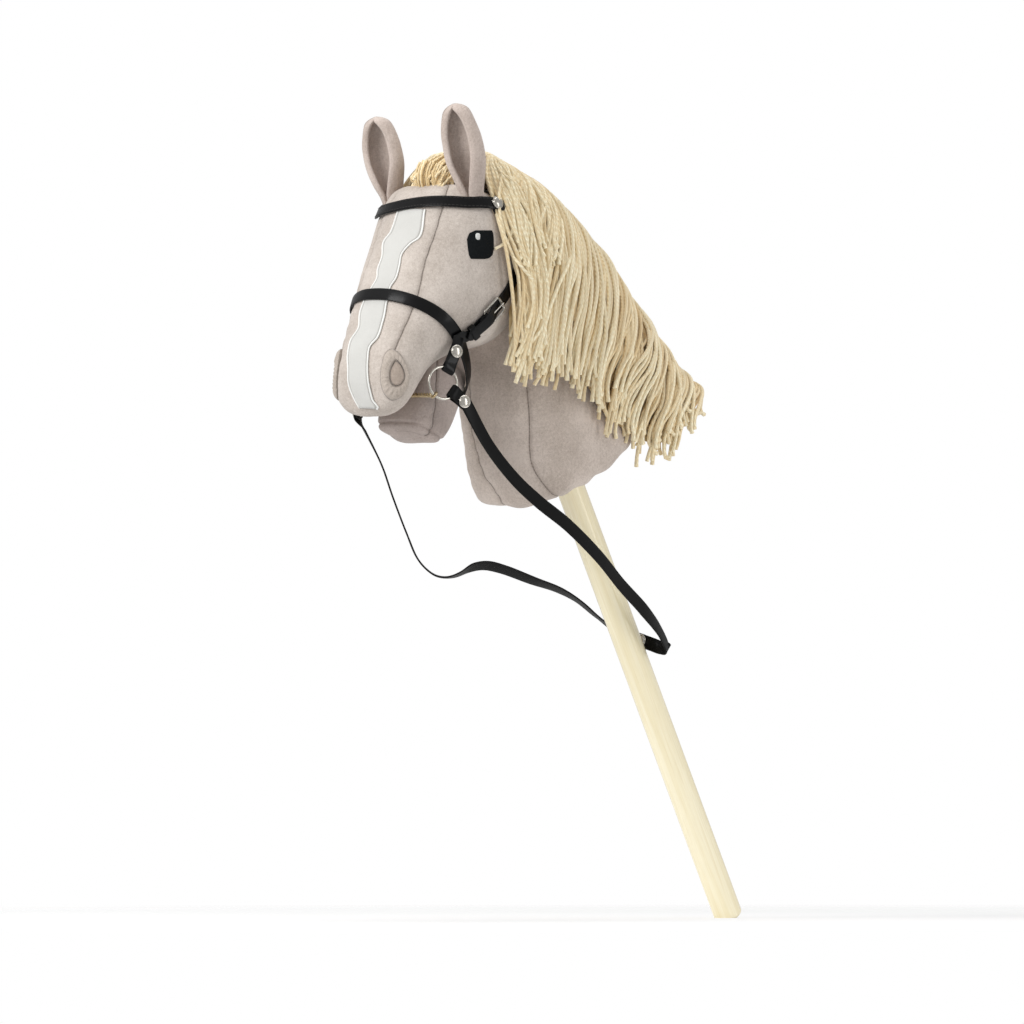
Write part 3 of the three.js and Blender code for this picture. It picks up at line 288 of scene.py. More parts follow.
class Course:
    """A smooth line through places, read at distances along it and heights above it"""

    def __init__(self, points, normals=None, fine=32):
        points = np.asarray(points, float)
        self.normals = np.tile((0, 0, 1.0), (len(points), 1)) if normals is None else np.asarray(normals, float)
        extended = np.vstack([2 * points[0] - points[1], points, 2 * points[-1] - points[-2]])
        marks, line = [], []
        for k in range(len(points) - 1):
            a, b, c, d = extended[k:k + 4]
            ta, tb, tc = (max(np.linalg.norm(q - p), 1e-9) ** 0.5 for p, q in ((a, b), (b, c), (c, d)))
            leave = ((b - a) / ta - (c - a) / (ta + tb) + (c - b) / tb) * tb
            arrive = ((c - b) / tb - (d - b) / (tb + tc) + (d - c) / tc) * tb
            s = np.linspace(0, 1, fine + 1)[: fine + (k == len(points) - 2), None]
            line.append(b + leave * s + (3 * (c - b) - 2 * leave - arrive) * s ** 2
                        + (2 * (b - c) + leave + arrive) * s ** 3)
            marks.append(k + s[:, 0])
        self.line, self.marks = np.vstack(line), np.concatenate(marks)
        self.reach = reach_along(self.line)
        self.length = self.reach[-1]

    def at(self, distance, height=0.0):
        distance = np.clip(np.atleast_1d(distance), 0, self.length)
        point = read(distance, self.reach, self.line)
        ahead = unit(read(distance, self.reach, np.gradient(self.line, self.reach, axis=0)))
        mark = np.interp(distance, self.reach, self.marks)
        slot = np.minimum(mark.astype(int), len(self.normals) - 2)
        share = (mark - slot)[:, None]
        normal = self.normals[slot] * (1 - share) + self.normals[slot + 1] * share
        normal = unit(normal - ahead * np.sum(normal * ahead, -1, keepdims=True))
        return point + normal * np.atleast_1d(height)[:, None], normal, ahead


def strap_rings(points, normals, widths, thickness, looped, crown=0.0):
    """Rings of a flat strap with rounded edges. The points are on its lower face, and it is
    thick along the normals. Also the marks for the distance along and across"""
    points, normals = np.asarray(points, float), np.asarray(normals, float)
    ahead = np.roll(points, -1, 0) - np.roll(points, 1, 0) if looped else np.gradient(points, axis=0)
    across = unit(np.cross(unit(ahead), normals))
    edge, section = thickness * 0.45, []
    for sx, sy, order in ((1, -1, -1), (1, 1, 1), (-1, 1, -1), (-1, -1, 1)):
        section += [(sx, sx * edge * (math.cos(t) - 1), sy * (thickness / 2 + edge * (math.sin(t) - 1)))
                    for t in np.radians((0, 30, 60, 90))[::order]]
        if sx == sy:
            section += [(f * sy, 0, sy * (thickness / 2 + crown * (1 - f * f))) for f in (0.6, 0.0, -0.6)]
    share, inset, height = np.array(section).T
    x = share * np.broadcast_to(widths, len(points))[:, None] / 2 + inset
    rings = (points[:, None] + across[:, None] * x[..., None]
             + normals[:, None] * (thickness / 2 + height)[:, None])
    return rings, {"along": np.repeat(reach_along(points), len(section)), "across": x}


def tip_widths(points, width, start, end):
    """Widths that round off a strap's first and last stretch"""
    reach = reach_along(points)
    ends, blunt = (dome(reach / start), dome((reach[-1] - reach) / end)), 0.25
    return width * np.maximum(ends[0], blunt) * np.maximum(ends[1], blunt)


def strap(name, points, normals, widths, finish, thickness=strap_thickness, looped=False, **rest):
    rings, marks = strap_rings(points, normals, widths, thickness, looped, strap_crown)
    return piece(name, rings, finish, "black_leather", looped=looped, marks=marks, **rest)


def fold_round(wire, away, across, reach, half, first_length, second_length):
    """The end of a strap folded round a wire: down one layer, round the wire and up the other"""
    rest, spread = seat_gap / 2, 2.2
    points, normals = [], []
    for sign, ends in ((1, (first_length, reach)), (0, None), (-1, (reach, second_length))):
        if sign:
            for distance in np.linspace(*ends, 9):
                lift = rest + (half - rest) * max(1 - distance / (spread * reach), 0) ** 1.5
                points.append(wire + away * distance + across * sign * lift)
                normals.append(across * sign)
        else:
            for angle in np.radians(np.linspace(75, -75, 13)):
                c, s = math.cos(angle), math.sin(angle)
                points.append(wire - away * reach * c + across * half * s)
                normals.append(unit(across * s / half - away * c / reach))
    return np.array(points), np.array(normals)


def leather(name, shade, rough, coat, edge_line):
    made = Finish(name, Coat_Weight=coat, Coat_Roughness=0.16, Specular_IOR_Level=0.09)
    across, along = abs(made.mark("across")), made.mark("along")
    cloud, fine = made.noise(90, 3.0), made.noise(2600)
    grain = made.add("ShaderNodeTexVoronoi", {}, "Distance", Vector=made.place, Scale=1700.0)
    rub_in, rub_out, crease_inset, crease_half = 0.0009, 0.0004, 0.0011, 0.00045
    edge = across.rise(edge_line - rub_in, edge_line + rub_out)
    crease = 1 - abs(across - (edge_line - crease_inset)).rise(0.0, crease_half)
    dark, light = dye(*[v * 0.8 for v in shade]), dye(*[v * 1.8 + 6 for v in shade])
    made.surface(Base_Color=made.mix(dark, light, (cloud - 0.35) * 0.7 + edge * 0.25 - crease * 0.2),
                 Roughness=rough + (cloud - 0.5) * 0.18 + fine * 0.06 + edge * 0.05)
    made.bump(grain * 0.4 + fine * 0.3 - crease * 1.6 + made.noise(240) * 0.9 + along.wave(0.012) * 0.04, 0.00012)
    return made


rein_leather = leather("rein_leather", (9, 9, 9), 0.46, 0.07, rein_width / 2)

# Each row: x, y, z of the strap's lower face and the way that face looks
rein_routes = {
    "left": [
        (0.05878, -0.37794, 0.4505, 0.9659, -0.2364, 0.1053), (0.06327, -0.35541, 0.41468, 1, 0, 0),
        (0.0673, -0.32932, 0.38659, 1, 0, 0), (0.06688, -0.29932, 0.36616, 1, 0, 0),
        (0.06585, -0.26198, 0.34508, 0.995, 0.0995, 0), (0.05845, -0.21693, 0.3174, 0.9889, 0.1483, 0),
        (0.04824, -0.17988, 0.29287, 0.9806, 0.1961, 0),
        (0.03923, -0.14342, 0.27069, 0.9656, 0.2414, -0.0966),
        (0.03008, -0.1157, 0.2522, 0.892, 0.427, 0.146),
        (0.02421, -0.10086, 0.23793, 0.87, 0.482, 0.105),
        (0.0227, -0.09891, 0.23628, 0.3904, 0.6707, -0.6307),
        (0.01967, -0.09968, 0.23677, -0.3904, 0.6707, -0.6307),
        (0.00887, -0.10263, 0.24025, -0.2949, 0.9517, -0.085),
        (-0.0031, -0.10597, 0.24405, -0.2949, 0.9517, -0.085),
        (-0.00909, -0.10765, 0.24595, -0.2949, 0.9517, -0.085)],
    "right": [
        (-0.0547, -0.39915, 0.44039, -0.9659, -0.2364, 0.1053),
        (-0.0543, -0.3922, 0.4298, -0.538, -0.697, -0.474),
        (-0.05309, -0.3715, 0.3979, -0.639, -0.662, -0.391),
        (-0.05511, -0.35624, 0.37028, -0.653, -0.676, -0.342),
        (-0.05686, -0.3374, 0.33773, -0.644, -0.667, -0.373),
        (-0.05794, -0.32294, 0.31564, -0.587, -0.608, -0.535),
        (-0.05883, -0.30535, 0.30346, -0.395, -0.41, -0.822),
        (-0.0589, -0.29136, 0.30037, 0.019, -0.037, -0.999),
        (-0.0577, -0.27631, 0.30242, 0.449, 0.186, -0.874),
        (-0.0558, -0.26141, 0.30833, 0.702, 0.068, -0.708),
        (-0.05258, -0.24723, 0.31028, 0.623, -0.181, -0.761),
        (-0.04837, -0.22947, 0.30681, 0.48, -0.341, -0.808),
        (-0.04131, -0.19964, 0.29687, 0.362, -0.367, -0.857),
        (-0.03512, -0.17478, 0.28899, 0.153, -0.4, -0.904),
        (-0.0302, -0.15501, 0.279, -0.137, -0.501, -0.854),
        (-0.02452, -0.13303, 0.26279, -0.271, -0.465, -0.843),
        (-0.016, -0.10632, 0.24758, 0.2949, -0.9517, 0.085),
        (-0.00403, -0.10297, 0.24378, 0.2949, -0.9517, 0.085),
        (0.00196, -0.1013, 0.24188, 0.2949, -0.9517, 0.085)],
}
face_angle = math.radians(51.2)
face_down = lean_over((0, -math.sin(face_angle), -math.cos(face_angle)))
face_out = lean_over((0, -math.cos(face_angle), math.sin(face_angle)))
ring_front = unit(face_out - ring_axis * (face_out @ ring_axis))


def round_ring(angle):
    """The way out from the left ring's centre, by angle from up the face towards the front"""
    angle = math.radians(angle)
    return ring_front * math.sin(angle) + unit(np.cross(ring_front, ring_axis)) * math.cos(angle)


def on_ring(angle, reach=ring_radius):
    return ring_centre + round_ring(angle) * reach


def ring_reach(width, slack):
    return ring_wire / 2 + slack + ring_radius - math.sqrt(ring_radius ** 2 - width ** 2 / 4)


rein_angles = {"left": -107, "right": -156}
rein_rivet_reach, rein_slack, rivet_tail = 0.0255, 0.0013, 0.0065
join_stretch, run_start, run_step, join_tip, ring_tip = 0.05, 0.0012, 0.0024, 0.005, 0.004
rein_tail = rein_rivet_reach - ring_radius
reins = {}
for side, sign in both_sides:
    flip = (sign, 1, 1)
    angle, route = rein_angles[side], np.array(rein_routes[side])
    course = Course(route[:, :3], unit(route[:, 3:]))
    fold, fold_normals = fold_round(
        on_ring(angle), round_ring(angle), ring_axis, ring_reach(rein_width, rein_slack),
        ring_wire / 2 + rein_slack, rein_tail + rivet_tail / 2, rein_tail + rivet_tail)
    places = np.concatenate([np.arange(run_start, course.length - join_stretch, run_step),
                             np.linspace(course.length - join_stretch, course.length, 60)])
    run, run_normals, _ = course.at(places[::-1])
    points = np.vstack([run, fold * flip])
    made = strap(f"rein_{side}", points, np.vstack([run_normals, fold_normals * flip]),
                 tip_widths(points, rein_width, join_tip, ring_tip), rein_leather, body="reins")
    start = [on_ring(angle, ring_radius + past) * flip for past in (-0.002, 0.008)]
    reins[side] = made, np.vstack([start, course.at(np.linspace(0.001, course.length, 70))[0]])

# Rings and rivets: nickel-plated metal, polished and a little scratched, as the buckles are. The
# rings are closed wire, and a rivet is a domed cap, a shank and a back plate through the straps.
nickel = Finish("polished_nickel", Metallic=1.0, Specular_IOR_Level=0.5)
scuff = nickel.noise(420, 4.0, 0.6)
nickel.surface(Base_Color=nickel.mix(dye(160, 155, 146), dye(204, 200, 192), scuff),
               Roughness=0.14 + scuff * 0.14)


def wire(name, points, radius, finish, slot, closed=False, sides=12, **rest):
    """A round wire along points"""
    points = np.asarray(points, float)
    ahead = unit(np.roll(points, -1, 0) - np.roll(points, 1, 0) if closed else np.gradient(points, axis=0))
    side, first = unit(np.cross(ahead[0], (0.3, 0.5, 0.8))), []
    for way in ahead:
        side = unit(side - way * (side @ way))
        first.append(side)
    first = np.array(first)
    second = np.cross(ahead, first)
    turns = np.radians(np.arange(sides) * 360 / sides)[None, :, None]
    if closed:
        drift = math.atan2(np.dot(np.cross(first[-1], first[0]), ahead[0]), first[-1] @ first[0])
        turns = turns + np.linspace(0, 1, len(points), endpoint=False)[:, None, None] * drift
    rings = points[:, None] + radius * (first[:, None] * np.cos(turns) + second[:, None] * np.sin(turns))
    return piece(name, rings, finish, slot, looped=closed, **rest)


def circle(centre, first, second, radius, count):
    turns = np.radians(np.arange(count) * 360 / count)[:, None]
    return centre + radius * (first * np.cos(turns) + second * np.sin(turns))


def lathe(name, outline, point, axis, finish, slot, sides=40, **rest):
    """An outline of (radius, height) turned about an axis, closed where its radius is zero"""
    axis = unit(axis)
    first = unit(np.cross(axis, (0.31, 0.52, 0.79)))
    rings = np.array([circle(point + axis * height, first, np.cross(axis, first), radius, sides)
                      for radius, height in outline])
    return piece(name, rings[1:-1], finish, slot, tips=(rings[0, 0], rings[-1, 0]), **rest)


rivet_radius, rivet_height, shank_radius, plate_radius, plate_thick = 0.0058, 0.0026, 0.0013, 0.0035, 0.0008
plate_edge, rim_rise, rim_top = 0.0006, 0.0006, 0.0008


def rivet(name, point, axis, grip, **rest):
    """A low domed cap with a rolled rim, a shank and a small back plate. It sits on the point"""
    back, cap = -grip - seat_gap, rivet_radius
    outline = [(0, back - plate_thick), (plate_radius * 0.8, back - plate_thick),
               (plate_radius, back - plate_edge), (plate_radius, back), (shank_radius, back),
               (shank_radius, seat_gap)]
    outline += [(cap * (0.9 + 0.1 * math.sin(t)), seat_gap + rim_rise * (1 - math.cos(t)))
                for t in np.radians((30, 60, 90, 120, 150, 172))]
    outline += [(cap * 0.86, seat_gap + rim_top)]
    outline += [(cap * 0.84 * math.cos(t), seat_gap + rivet_height * (0.36 + 0.64 * math.sin(t)))
                for t in np.radians((0, 12, 24, 36, 48, 60, 72, 83))]
    return lathe(name, [*outline, (0, seat_gap + rivet_height)], point, axis, nickel, "nickel", **rest)


rein_grip = seat_gap + 2 * strap_thickness
on_strap = ring_axis * (seat_gap / 2 + strap_thickness)
for side, sign in both_sides:
    point = on_ring(rein_angles[side], rein_rivet_reach) + on_strap
    rivet(f"rein_rivet_{side}", point * (sign, 1, 1), ring_axis * (sign, 1, 1), rein_grip,
                              body="reins")
join_place, join_axis = np.array((-0.0031, -0.10597, 0.24405)), (0.2949, -0.9517, 0.085)
join_rivet = rivet("rein_join_rivet", join_place, join_axis, rein_grip + seat_gap, body="reins")
for side, extra in (("left", [join_rivet]), ("right", [])):
    made, path = reins[side]
for side, sign in both_sides:
    loop = circle(ring_centre, round_ring(0), round_ring(90), ring_radius, 96)
    wire(f"ring_{side}", loop * (sign, 1, 1), ring_wire / 2, nickel, "nickel", closed=True, sides=20,
         body=f"{side}_ring")

# Stick: a turned pole of pale close-grained wood under a clear glossy lacquer. Its upper end is
# buried in the head's stuffing, and its foot is rounded off to a small flat.
stick_radius, stick_length, stick_round, top_round = 0.0125, 0.668, 0.005, 0.0008
lacquer = Finish("lacquered_wood", Coat_Weight=0.55, Coat_Roughness=0.08)
upright = lacquer.add("ShaderNodeMapping", {}, 0, lacquer.place, None, (-lean, 0, 0))
in_grain = lacquer.add("ShaderNodeMapping", {}, 0, upright, None, None, (1.0, 1.0, 0.02))
growth = lacquer.noise(240, 4.0, 0.55, in_grain)
pores = lacquer.noise(2200, 2.0, 0.6, in_grain).rise(0.56, 0.72)
streak = lacquer.noise(900, 3.0, 0.5, in_grain)
wood = lacquer.mix(dye(238, 226, 188), dye(247, 238, 208), growth.rise(0.32, 0.68))
wood = lacquer.mix(wood, dye(222, 203, 156), streak.rise(0.5, 0.8) * 0.4 + pores * 0.2)
lacquer.surface(Base_Color=wood, Roughness=0.26 + growth * 0.14)
lacquer.bump(streak * 0.5 - pores * 0.5, 0.00008)
foot_turns = np.radians(range(0, 91, 10))
pole = [(0, 0), *[(stick_radius + stick_round * (math.sin(t) - 1), stick_round * (1 - math.cos(t)))
                  for t in foot_turns],
        *[(stick_radius, height) for height in np.linspace(0.02, stick_length - 0.001, 60)],
        (stick_radius - top_round, stick_length), (0, stick_length)]
lathe("stick", pole, np.zeros(3), lean_over((0, 0, 1)), lacquer, "lacquered_wood", sides=96)

# Head and neck: short-pile grey-beige plush sewn from side panels and a middle strip, turned
# right side out and stuffed firm. Seams pull in, and the neck's cloth gathers round the stick.
def row_at(rows, place):
    """Values of a table at places between its rows, on a cubic through the rows around them"""
    rows, place = np.asarray(rows, float), np.asarray(place, float)
    last = len(rows) - 2
    k = np.clip(np.searchsorted(rows[:, 0], place, side="left") - 1, 0, last)
    a, b, before, after = rows[k], rows[k + 1], rows[np.maximum(k - 1, 0)], rows[np.minimum(k + 2, last + 1)]
    span = b[..., 0] - a[..., 0]
    s = np.clip((place - a[..., 0]) / span, 0, 1)[..., None]
    leave = (b - before)[..., 1:] * (span / (b - before)[..., 0])[..., None]
    arrive = (after - a)[..., 1:] * (span / (after - a)[..., 0])[..., None]
    return (a[..., 1:] * (2 * s ** 3 - 3 * s ** 2 + 1) + leave * (s ** 3 - 2 * s ** 2 + s)
            + b[..., 1:] * (3 * s ** 2 - 2 * s ** 3) + arrive * (s ** 3 - s ** 2))


class Stuffed:
    """A stuffed body: rounded oblong sections across a line. Each row gives shares of its sizes:
    the place along, half the width, the front and the back"""

    def __init__(self, rows, length, width, depth, power, origin, along, front):
        self.rows, self.length, self.width, self.depth, self.power = rows, length, width, depth, power
        self.origin, self.along, self.front = (lean_over(v) for v in (origin, along, front))

    def section(self, along):
        half, front, back = np.moveaxis(row_at(self.rows, np.asarray(along) / self.length), -1, 0)
        return half * self.width, (front + back) / 2 * self.depth, abs(front - back) / 2 * self.depth

    def place(self, x, front, along):
        x, front, along = (np.asarray(v, float)[..., None] for v in np.broadcast_arrays(x, front, along))
        return self.origin + along * self.along + front * self.front + x * np.array((1.0, 0, 0))

    def locate(self, point):
        local = np.asarray(point) - self.origin
        return local[..., 0], local @ self.front, local @ self.along

    def inside(self, x, front, along):
        half, middle, deep = self.section(along)
        value = abs(x / half) ** self.power + abs((front - middle) / deep) ** self.power
        ends = self.rows[0][0] * self.length, self.rows[-1][0] * self.length
        return np.where((along < ends[0]) | (along > ends[1]), 2, value)

    def lifted(self, x, front, along, lift=0.0):
        step = self.width / 500
        slope = [self.inside(x + i, front + j, along + k) - self.inside(x - i, front - j, along - k)
                 for i, j, k in ((step, 0, 0), (0, step, 0), (0, 0, step))]
        normal = unit(slope[0][..., None] * np.array((1.0, 0, 0)) + slope[1][..., None] * self.front
                      + slope[2][..., None] * self.along)
        return self.place(x, front, along) + normal * np.asarray(lift)[..., None], normal

    def round_at(self, along, direction, lift=0.0):
        """The skin at a height along, in a direction round the body in degrees"""
        half, middle, deep = self.section(along)
        side, face = np.sin(np.radians(direction)), np.cos(np.radians(direction))
        out = (abs(side / half) ** self.power + abs(face / deep) ** self.power) ** (-1 / self.power)
        return self.lifted(side * out, middle + face * out, along + 0 * out, lift)

    def side_at(self, along, front, side, lift=0.0):
        half, middle, deep = self.section(along)
        rest = np.maximum(1 - abs((front - middle) / deep) ** self.power, 0.01)
        return self.lifted(side * half * rest ** (1 / self.power), front, along, lift)

    def under_pixel(self, x, y):
        """Place along and direction round the skin seen at a pixel"""
        sight = np.linspace(0.5, -0.2, 4000)[:, None]
        line = seen(x, y) + sight * view_back
        local = self.locate(line)
        hit = np.argmax(self.inside(*local) < 1)
        x, front, along = (v[hit] for v in local)
        middle = self.section(along)[1]
        return float(along), math.degrees(math.atan2(x, front - middle))


head_length, head_width, head_depth, oblong = 0.214, 0.126, 0.128, 2.5
down, out = ((0, -math.sin(face_angle), -math.cos(face_angle)), (0, -math.cos(face_angle), math.sin(face_angle)))
head_origin = np.array((0, -0.042, 0.750))
head = Stuffed([
    (-0.030, 0.18, -0.28, -0.52), (-0.020, 0.36, -0.17, -0.63), (0.010, 0.455, -0.085, -0.75),
    (0.060, 0.495, -0.03, -0.87), (0.150, 0.515, 0.0, -0.95), (0.280, 0.515, 0.0, -1.0),
    (0.400, 0.505, 0.005, -0.99), (0.495, 0.470, 0.010, -0.91), (0.575, 0.420, 0.018, -0.75),
    (0.655, 0.370, 0.020, -0.57), (0.740, 0.345, 0.015, -0.46), (0.820, 0.340, 0.0, -0.405),
    (0.890, 0.325, -0.035, -0.375), (0.945, 0.280, -0.095, -0.345), (0.985, 0.190, -0.155, -0.300),
    (0.998, 0.090, -0.190, -0.255)],
    head_length, head_width, head_depth, oblong, head_origin, down, out)
neck_length, neck_width, neck_depth, neck_foot = 0.268, 0.122, 0.148, (0, 0, 0.440)
neck = Stuffed([
    (0.0, 0.36, -0.41, 0.33), (0.012, 0.44, -0.50, 0.40), (0.045, 0.495, -0.555, 0.445),
    (0.150, 0.500, -0.545, 0.455), (0.300, 0.485, -0.475, 0.455), (0.450, 0.465, -0.390, 0.450),
    (0.600, 0.450, -0.310, 0.435), (0.750, 0.430, -0.250, 0.395), (0.880, 0.380, -0.190, 0.310),
    (0.970, 0.270, -0.120, 0.190), (1.0, 0.140, -0.060, 0.090)],
    neck_length, neck_width, neck_depth, oblong, neck_foot, (0, 0, 1), (0, 1, 0))
jaw_top, jaw_start = -0.455 * head_depth, 0.52 * head_length
jaw_length, jaw_width, jaw_depth, jaw_oblong = 0.100, 0.059, 0.047, 4
jaw = Stuffed([
    (0.0, 0.40, 0.0, -0.90), (0.15, 0.49, 0.0, -0.98), (0.45, 0.50, 0.0, -1.03), (0.75, 0.50, -0.01, -1.02),
    (0.92, 0.48, -0.04, -0.95), (0.98, 0.44, -0.10, -0.86), (1.0, 0.36, -0.18, -0.76)],
    jaw_length, jaw_width, jaw_depth, jaw_oblong,
    head_origin + np.array(down) * jaw_start + np.array(out) * jaw_top, down, out)


def plush(name, light, dark, seam_line_and_shade):
    made = Finish(name, Sheen_Weight=0.25, Sheen_Roughness=0.45, Specular_IOR_Level=0.15)
    made.surface(Sheen_Tint=(1.0, 0.97, 0.95, 1))
    seam, run = abs(made.mark("seam")), made.mark("seam_along")
    pile = made.noise(1100, 3.0, 0.65)
    nap = made.noise(420, 3.0, 0.6)
    cloud = made.noise(26, 3.0, 0.5)
    shade = made.mix(dark, light, (pile - 0.5) * 1.5 + (nap - 0.5) * 1.1 + (cloud - 0.5) * 1.6 + 0.55)
    # A dark line along each seam where thread and gap show. Round it lies a band up to 5 mm wide of painted shade,
    # where the seam pulls the cloth in.
    line = (1 - seam.rise(0.0001, 0.0008)) * (0.8 + run.wave(0.0030) * 0.2)
    near = (1 - seam.rise(0.0004, 0.005)) * 0.16
    shade = made.mix(shade, seam_line_and_shade, line * 0.6 + near)
    made.surface(Base_Color=shade, Roughness=0.93 + (pile - 0.5) * 0.1)
    made.bump(pile * 0.55 + nap * 0.5 - line * 1.2, 0.0009, 0.85)
    return made


head_plush = plush("head_plush", dye(213, 203, 194), dye(172, 161, 151), dye(120, 108, 98))


def lumps(points, size, seed):
    """Soft unevenness of stuffed cloth, from a few fixed waves"""
    draw, waves = np.random.default_rng(seed), 9
    total = np.zeros(points.shape[:-1])
    for _ in range(waves):
        way = unit(draw.normal(size=3)) * 2 * math.pi / (size * draw.uniform(0.7, 1.6))
        total += np.sin(points @ way + draw.uniform(0, 6.28))
    return total / (waves / 2)


def both(seam):
    """A seam and its mirror image"""
    return [seam, [(share, -direction) for share, direction in seam]]


lump_size, lump_rise, seam_depth, seam_half = 0.05, 0.0006, 0.0012, 0.0014
pull_depth, pull_half, pucker, pucker_pitch = 0.0011, 0.008, 0.35, 0.013


def stuffed(name, body, rows, around, seams, ends, finish, shape=None, seed=1, poles=(0.0015, 0.0015),
            replaces=None):
    """A fine padded skin over a body, drawn in along its seams. A seam is rows of the share along
    the body and the direction round it"""
    even = np.linspace(0, 1, rows)
    along = (ends[0] + (ends[1] - ends[0]) * (even - np.sin(2 * np.pi * even) / (3 * np.pi))) * body.length
    turn = np.linspace(0, 2 * np.pi, around, endpoint=False)
    half, middle, deep = (v[:, None] for v in body.section(along))
    x = np.sign(np.sin(turn)) * abs(np.sin(turn)) ** (2 / body.power) * half
    front = middle + np.sign(np.cos(turn)) * abs(np.cos(turn)) ** (2 / body.power) * deep
    spread = np.broadcast_to(along[:, None], x.shape)
    share = spread / body.length
    points = body.place(x, front, spread)
    normal = unit(np.cross(np.gradient(points, axis=0), np.roll(points, -1, 1) - np.roll(points, 1, 1)))
    outward = points - body.place(0 * middle, middle, along[:, None])
    normal *= np.sign(np.sum(normal * outward, -1, keepdims=True))
    direction, radius = np.degrees(np.arctan2(x, front - middle)), np.hypot(x, front - middle)
    nearest, run = np.full(x.shape, 1.0), np.zeros(x.shape)
    for seam in map(np.array, seams):
        off = np.radians((direction - row_at(seam, share)[..., 0] + 180) % 360 - 180) * radius
        beyond = np.maximum(np.maximum(seam[0, 0] - share, share - seam[-1, 0]), 0)
        off = np.where(off < 0, -1, 1) * np.hypot(off, beyond * body.length)
        closer = abs(off) < abs(nearest)
        nearest, run = np.where(closer, off, nearest), np.where(closer, spread, run)
    puckers = 1 + pucker * np.sin(run * 2 * np.pi / pucker_pitch)
    lift = (lumps(points, lump_size, seed) * lump_rise - seam_depth * np.exp(-(nearest / seam_half) ** 2)
            - pull_depth * np.exp(-(nearest / pull_half) ** 2) * puckers)
    if shape is not None:
        lift = lift + shape(share, direction)
    points = points + normal * lift[..., None]
    caps, s = [], np.array((0.82, 0.6, 0.36, 0.14))[:, None, None]
    for end, bulge in ((0, -poles[0]), (-1, poles[1])):
        heart = points[end].mean(0)
        caps.append(heart + (points[end] - heart) * s + body.along * bulge * (1 - s * s))
    still = np.zeros((len(s), around))
    marks = {"seam": np.concatenate([still + far_off, nearest, still + far_off]),
             "seam_along": np.concatenate([still, run, still])}
    rings = np.concatenate([caps[0][::-1], points, caps[1]])
    piece(name, rings, finish, "plush", marks=marks, replaces=replaces)


side_seam = [(0.0, 33.5), (0.13, 33.4), (0.219, 33.1), (0.313, 32.0), (0.388, 32.6), (0.484, 37.0),
             (0.566, 43.2), (0.634, 50.3), (0.693, 54.9), (0.775, 58.3)]
back_seam = [(0.02, 180), (0.62, 180)]
stuffed("head", head, 210, 288, [*both(side_seam), back_seam], (-0.030, 0.998), head_plush, seed=3,
        replaces=["head_cover", "head_stuffing"])

neck_plush = plush("neck_plush", dye(212, 199, 189), dye(170, 157, 146), dye(120, 107, 97))
neck_side_seam = [(0.0, 136), (0.068, 141.8), (0.167, 146.5), (0.31, 140.4), (0.44, 135.4), (0.557, 127.3),
                  (0.72, 116)]
neck_front_seam = [(0.0, 181), (0.08, 181), (0.147, 189), (0.29, 195), (0.49, 191), (0.6, 189)]


def gathered(along, direction):
    """Cloth drawn in under the neck: a soft rim, and folds that run out of the stick's hole"""
    turn, rim_reach = np.radians(direction), 0.05
    folds_round, fold_rise, waves_round, wave_rise = 11, 0.0011, 5, 0.0009
    low = np.exp(-(along / rim_reach) ** 2)
    folds = np.sin(turn * folds_round + 1.3 * np.sin(turn * 3))
    wave = np.exp(-((along - 0.10) / 0.06) ** 2) * np.sin(turn * waves_round + 0.7)
    return low * folds * fold_rise + wave * wave_rise


stuffed("neck", neck, 190, 256, [*both(neck_side_seam), neck_front_seam], (0.0, 1.0), neck_plush, gathered,
        seed=8, poles=(-0.006, 0.001), replaces=["neck_cover", "neck_stuffing"])

# Lower jaw: a small stuffed bag of the same plush, sewn under the head, with a seam down each
# side and one across its end.
# Painted shade: the jaw's plush is a darker copy of the head's, for the shade under the head.
shaded_jaw_plush = plush("shaded_jaw_plush", dye(190, 176, 169), dye(150, 137, 130), dye(100, 88, 80))
jaw_seam = [(0.3, 52), (0.476, 61.0), (0.678, 72.3), (0.83, 81.3), (0.932, 88.3), (1.0, 92)]


def jaw_end(along, direction):
    """The end seam's crease across the bag, and its fuller middle"""
    crease_place, crease_half, crease_depth = 0.945, 0.014, 0.0016
    full_place, full_half, full_rise = 0.6, 0.3, 0.0012
    crease = crease_depth * np.exp(-((along - crease_place) / crease_half) ** 2)
    return -crease + full_rise * np.exp(-((along - full_place) / full_half) ** 2)


stuffed("lower_jaw", jaw, 120, 200, both(jaw_seam), (0.0, 1.0), shaded_jaw_plush, jaw_end, seed=5,
        poles=(0.001, 0.003))

# Ears: two cupped leaves of plush, each two layers thick with a rolled edge, wrapped round
# towards the front and sewn into the head behind the browband.
ear_plush = plush("ear_plush", dye(208, 194, 185), dye(168, 153, 143), dye(120, 104, 94))
# Each row: place up the ear, half width, half depth, half of the opening in degrees, and the roll
# of its edge
ear_rows = [
    (-0.12, 0.22, 0.32, 10, 0.3), (0.0, 0.25, 0.38, 14, 0.5), (0.15, 0.36, 0.46, 30, 0.8),
    (0.40, 0.49, 0.50, 46, 1.0), (0.62, 0.49, 0.46, 50, 1.0), (0.80, 0.42, 0.38, 46, 1.0),
    (0.90, 0.35, 0.31, 30, 0.9), (0.95, 0.28, 0.26, 12, 0.6), (1.0, 0.2, 0.2, 4, 0.4)]
ear_width, ear_cup, ear_wall, ear_tilt = 0.039, 0.025, 0.0046, math.radians(36)
ear_points, rim_turns, ear_seam_point = 44, np.radians((36, 72, 108, 144))[:, None], 38
ear_sections, ear_roll, ear_tip, ear_tip_reach, ear_fill = 64, 0.62, 0.93, 0.07, 0.35
ear_front, ear_down, ear_lump, ear_lump_rise = -0.199 * head_depth, 0.026 * head_length, 0.03, 0.0005


def rolled(a, b, bulge):
    """Places round the edge from one face of a leaf to the other"""
    return (a + b) / 2 + (a - b) / 2 * np.cos(rim_turns) + bulge * np.sin(rim_turns)


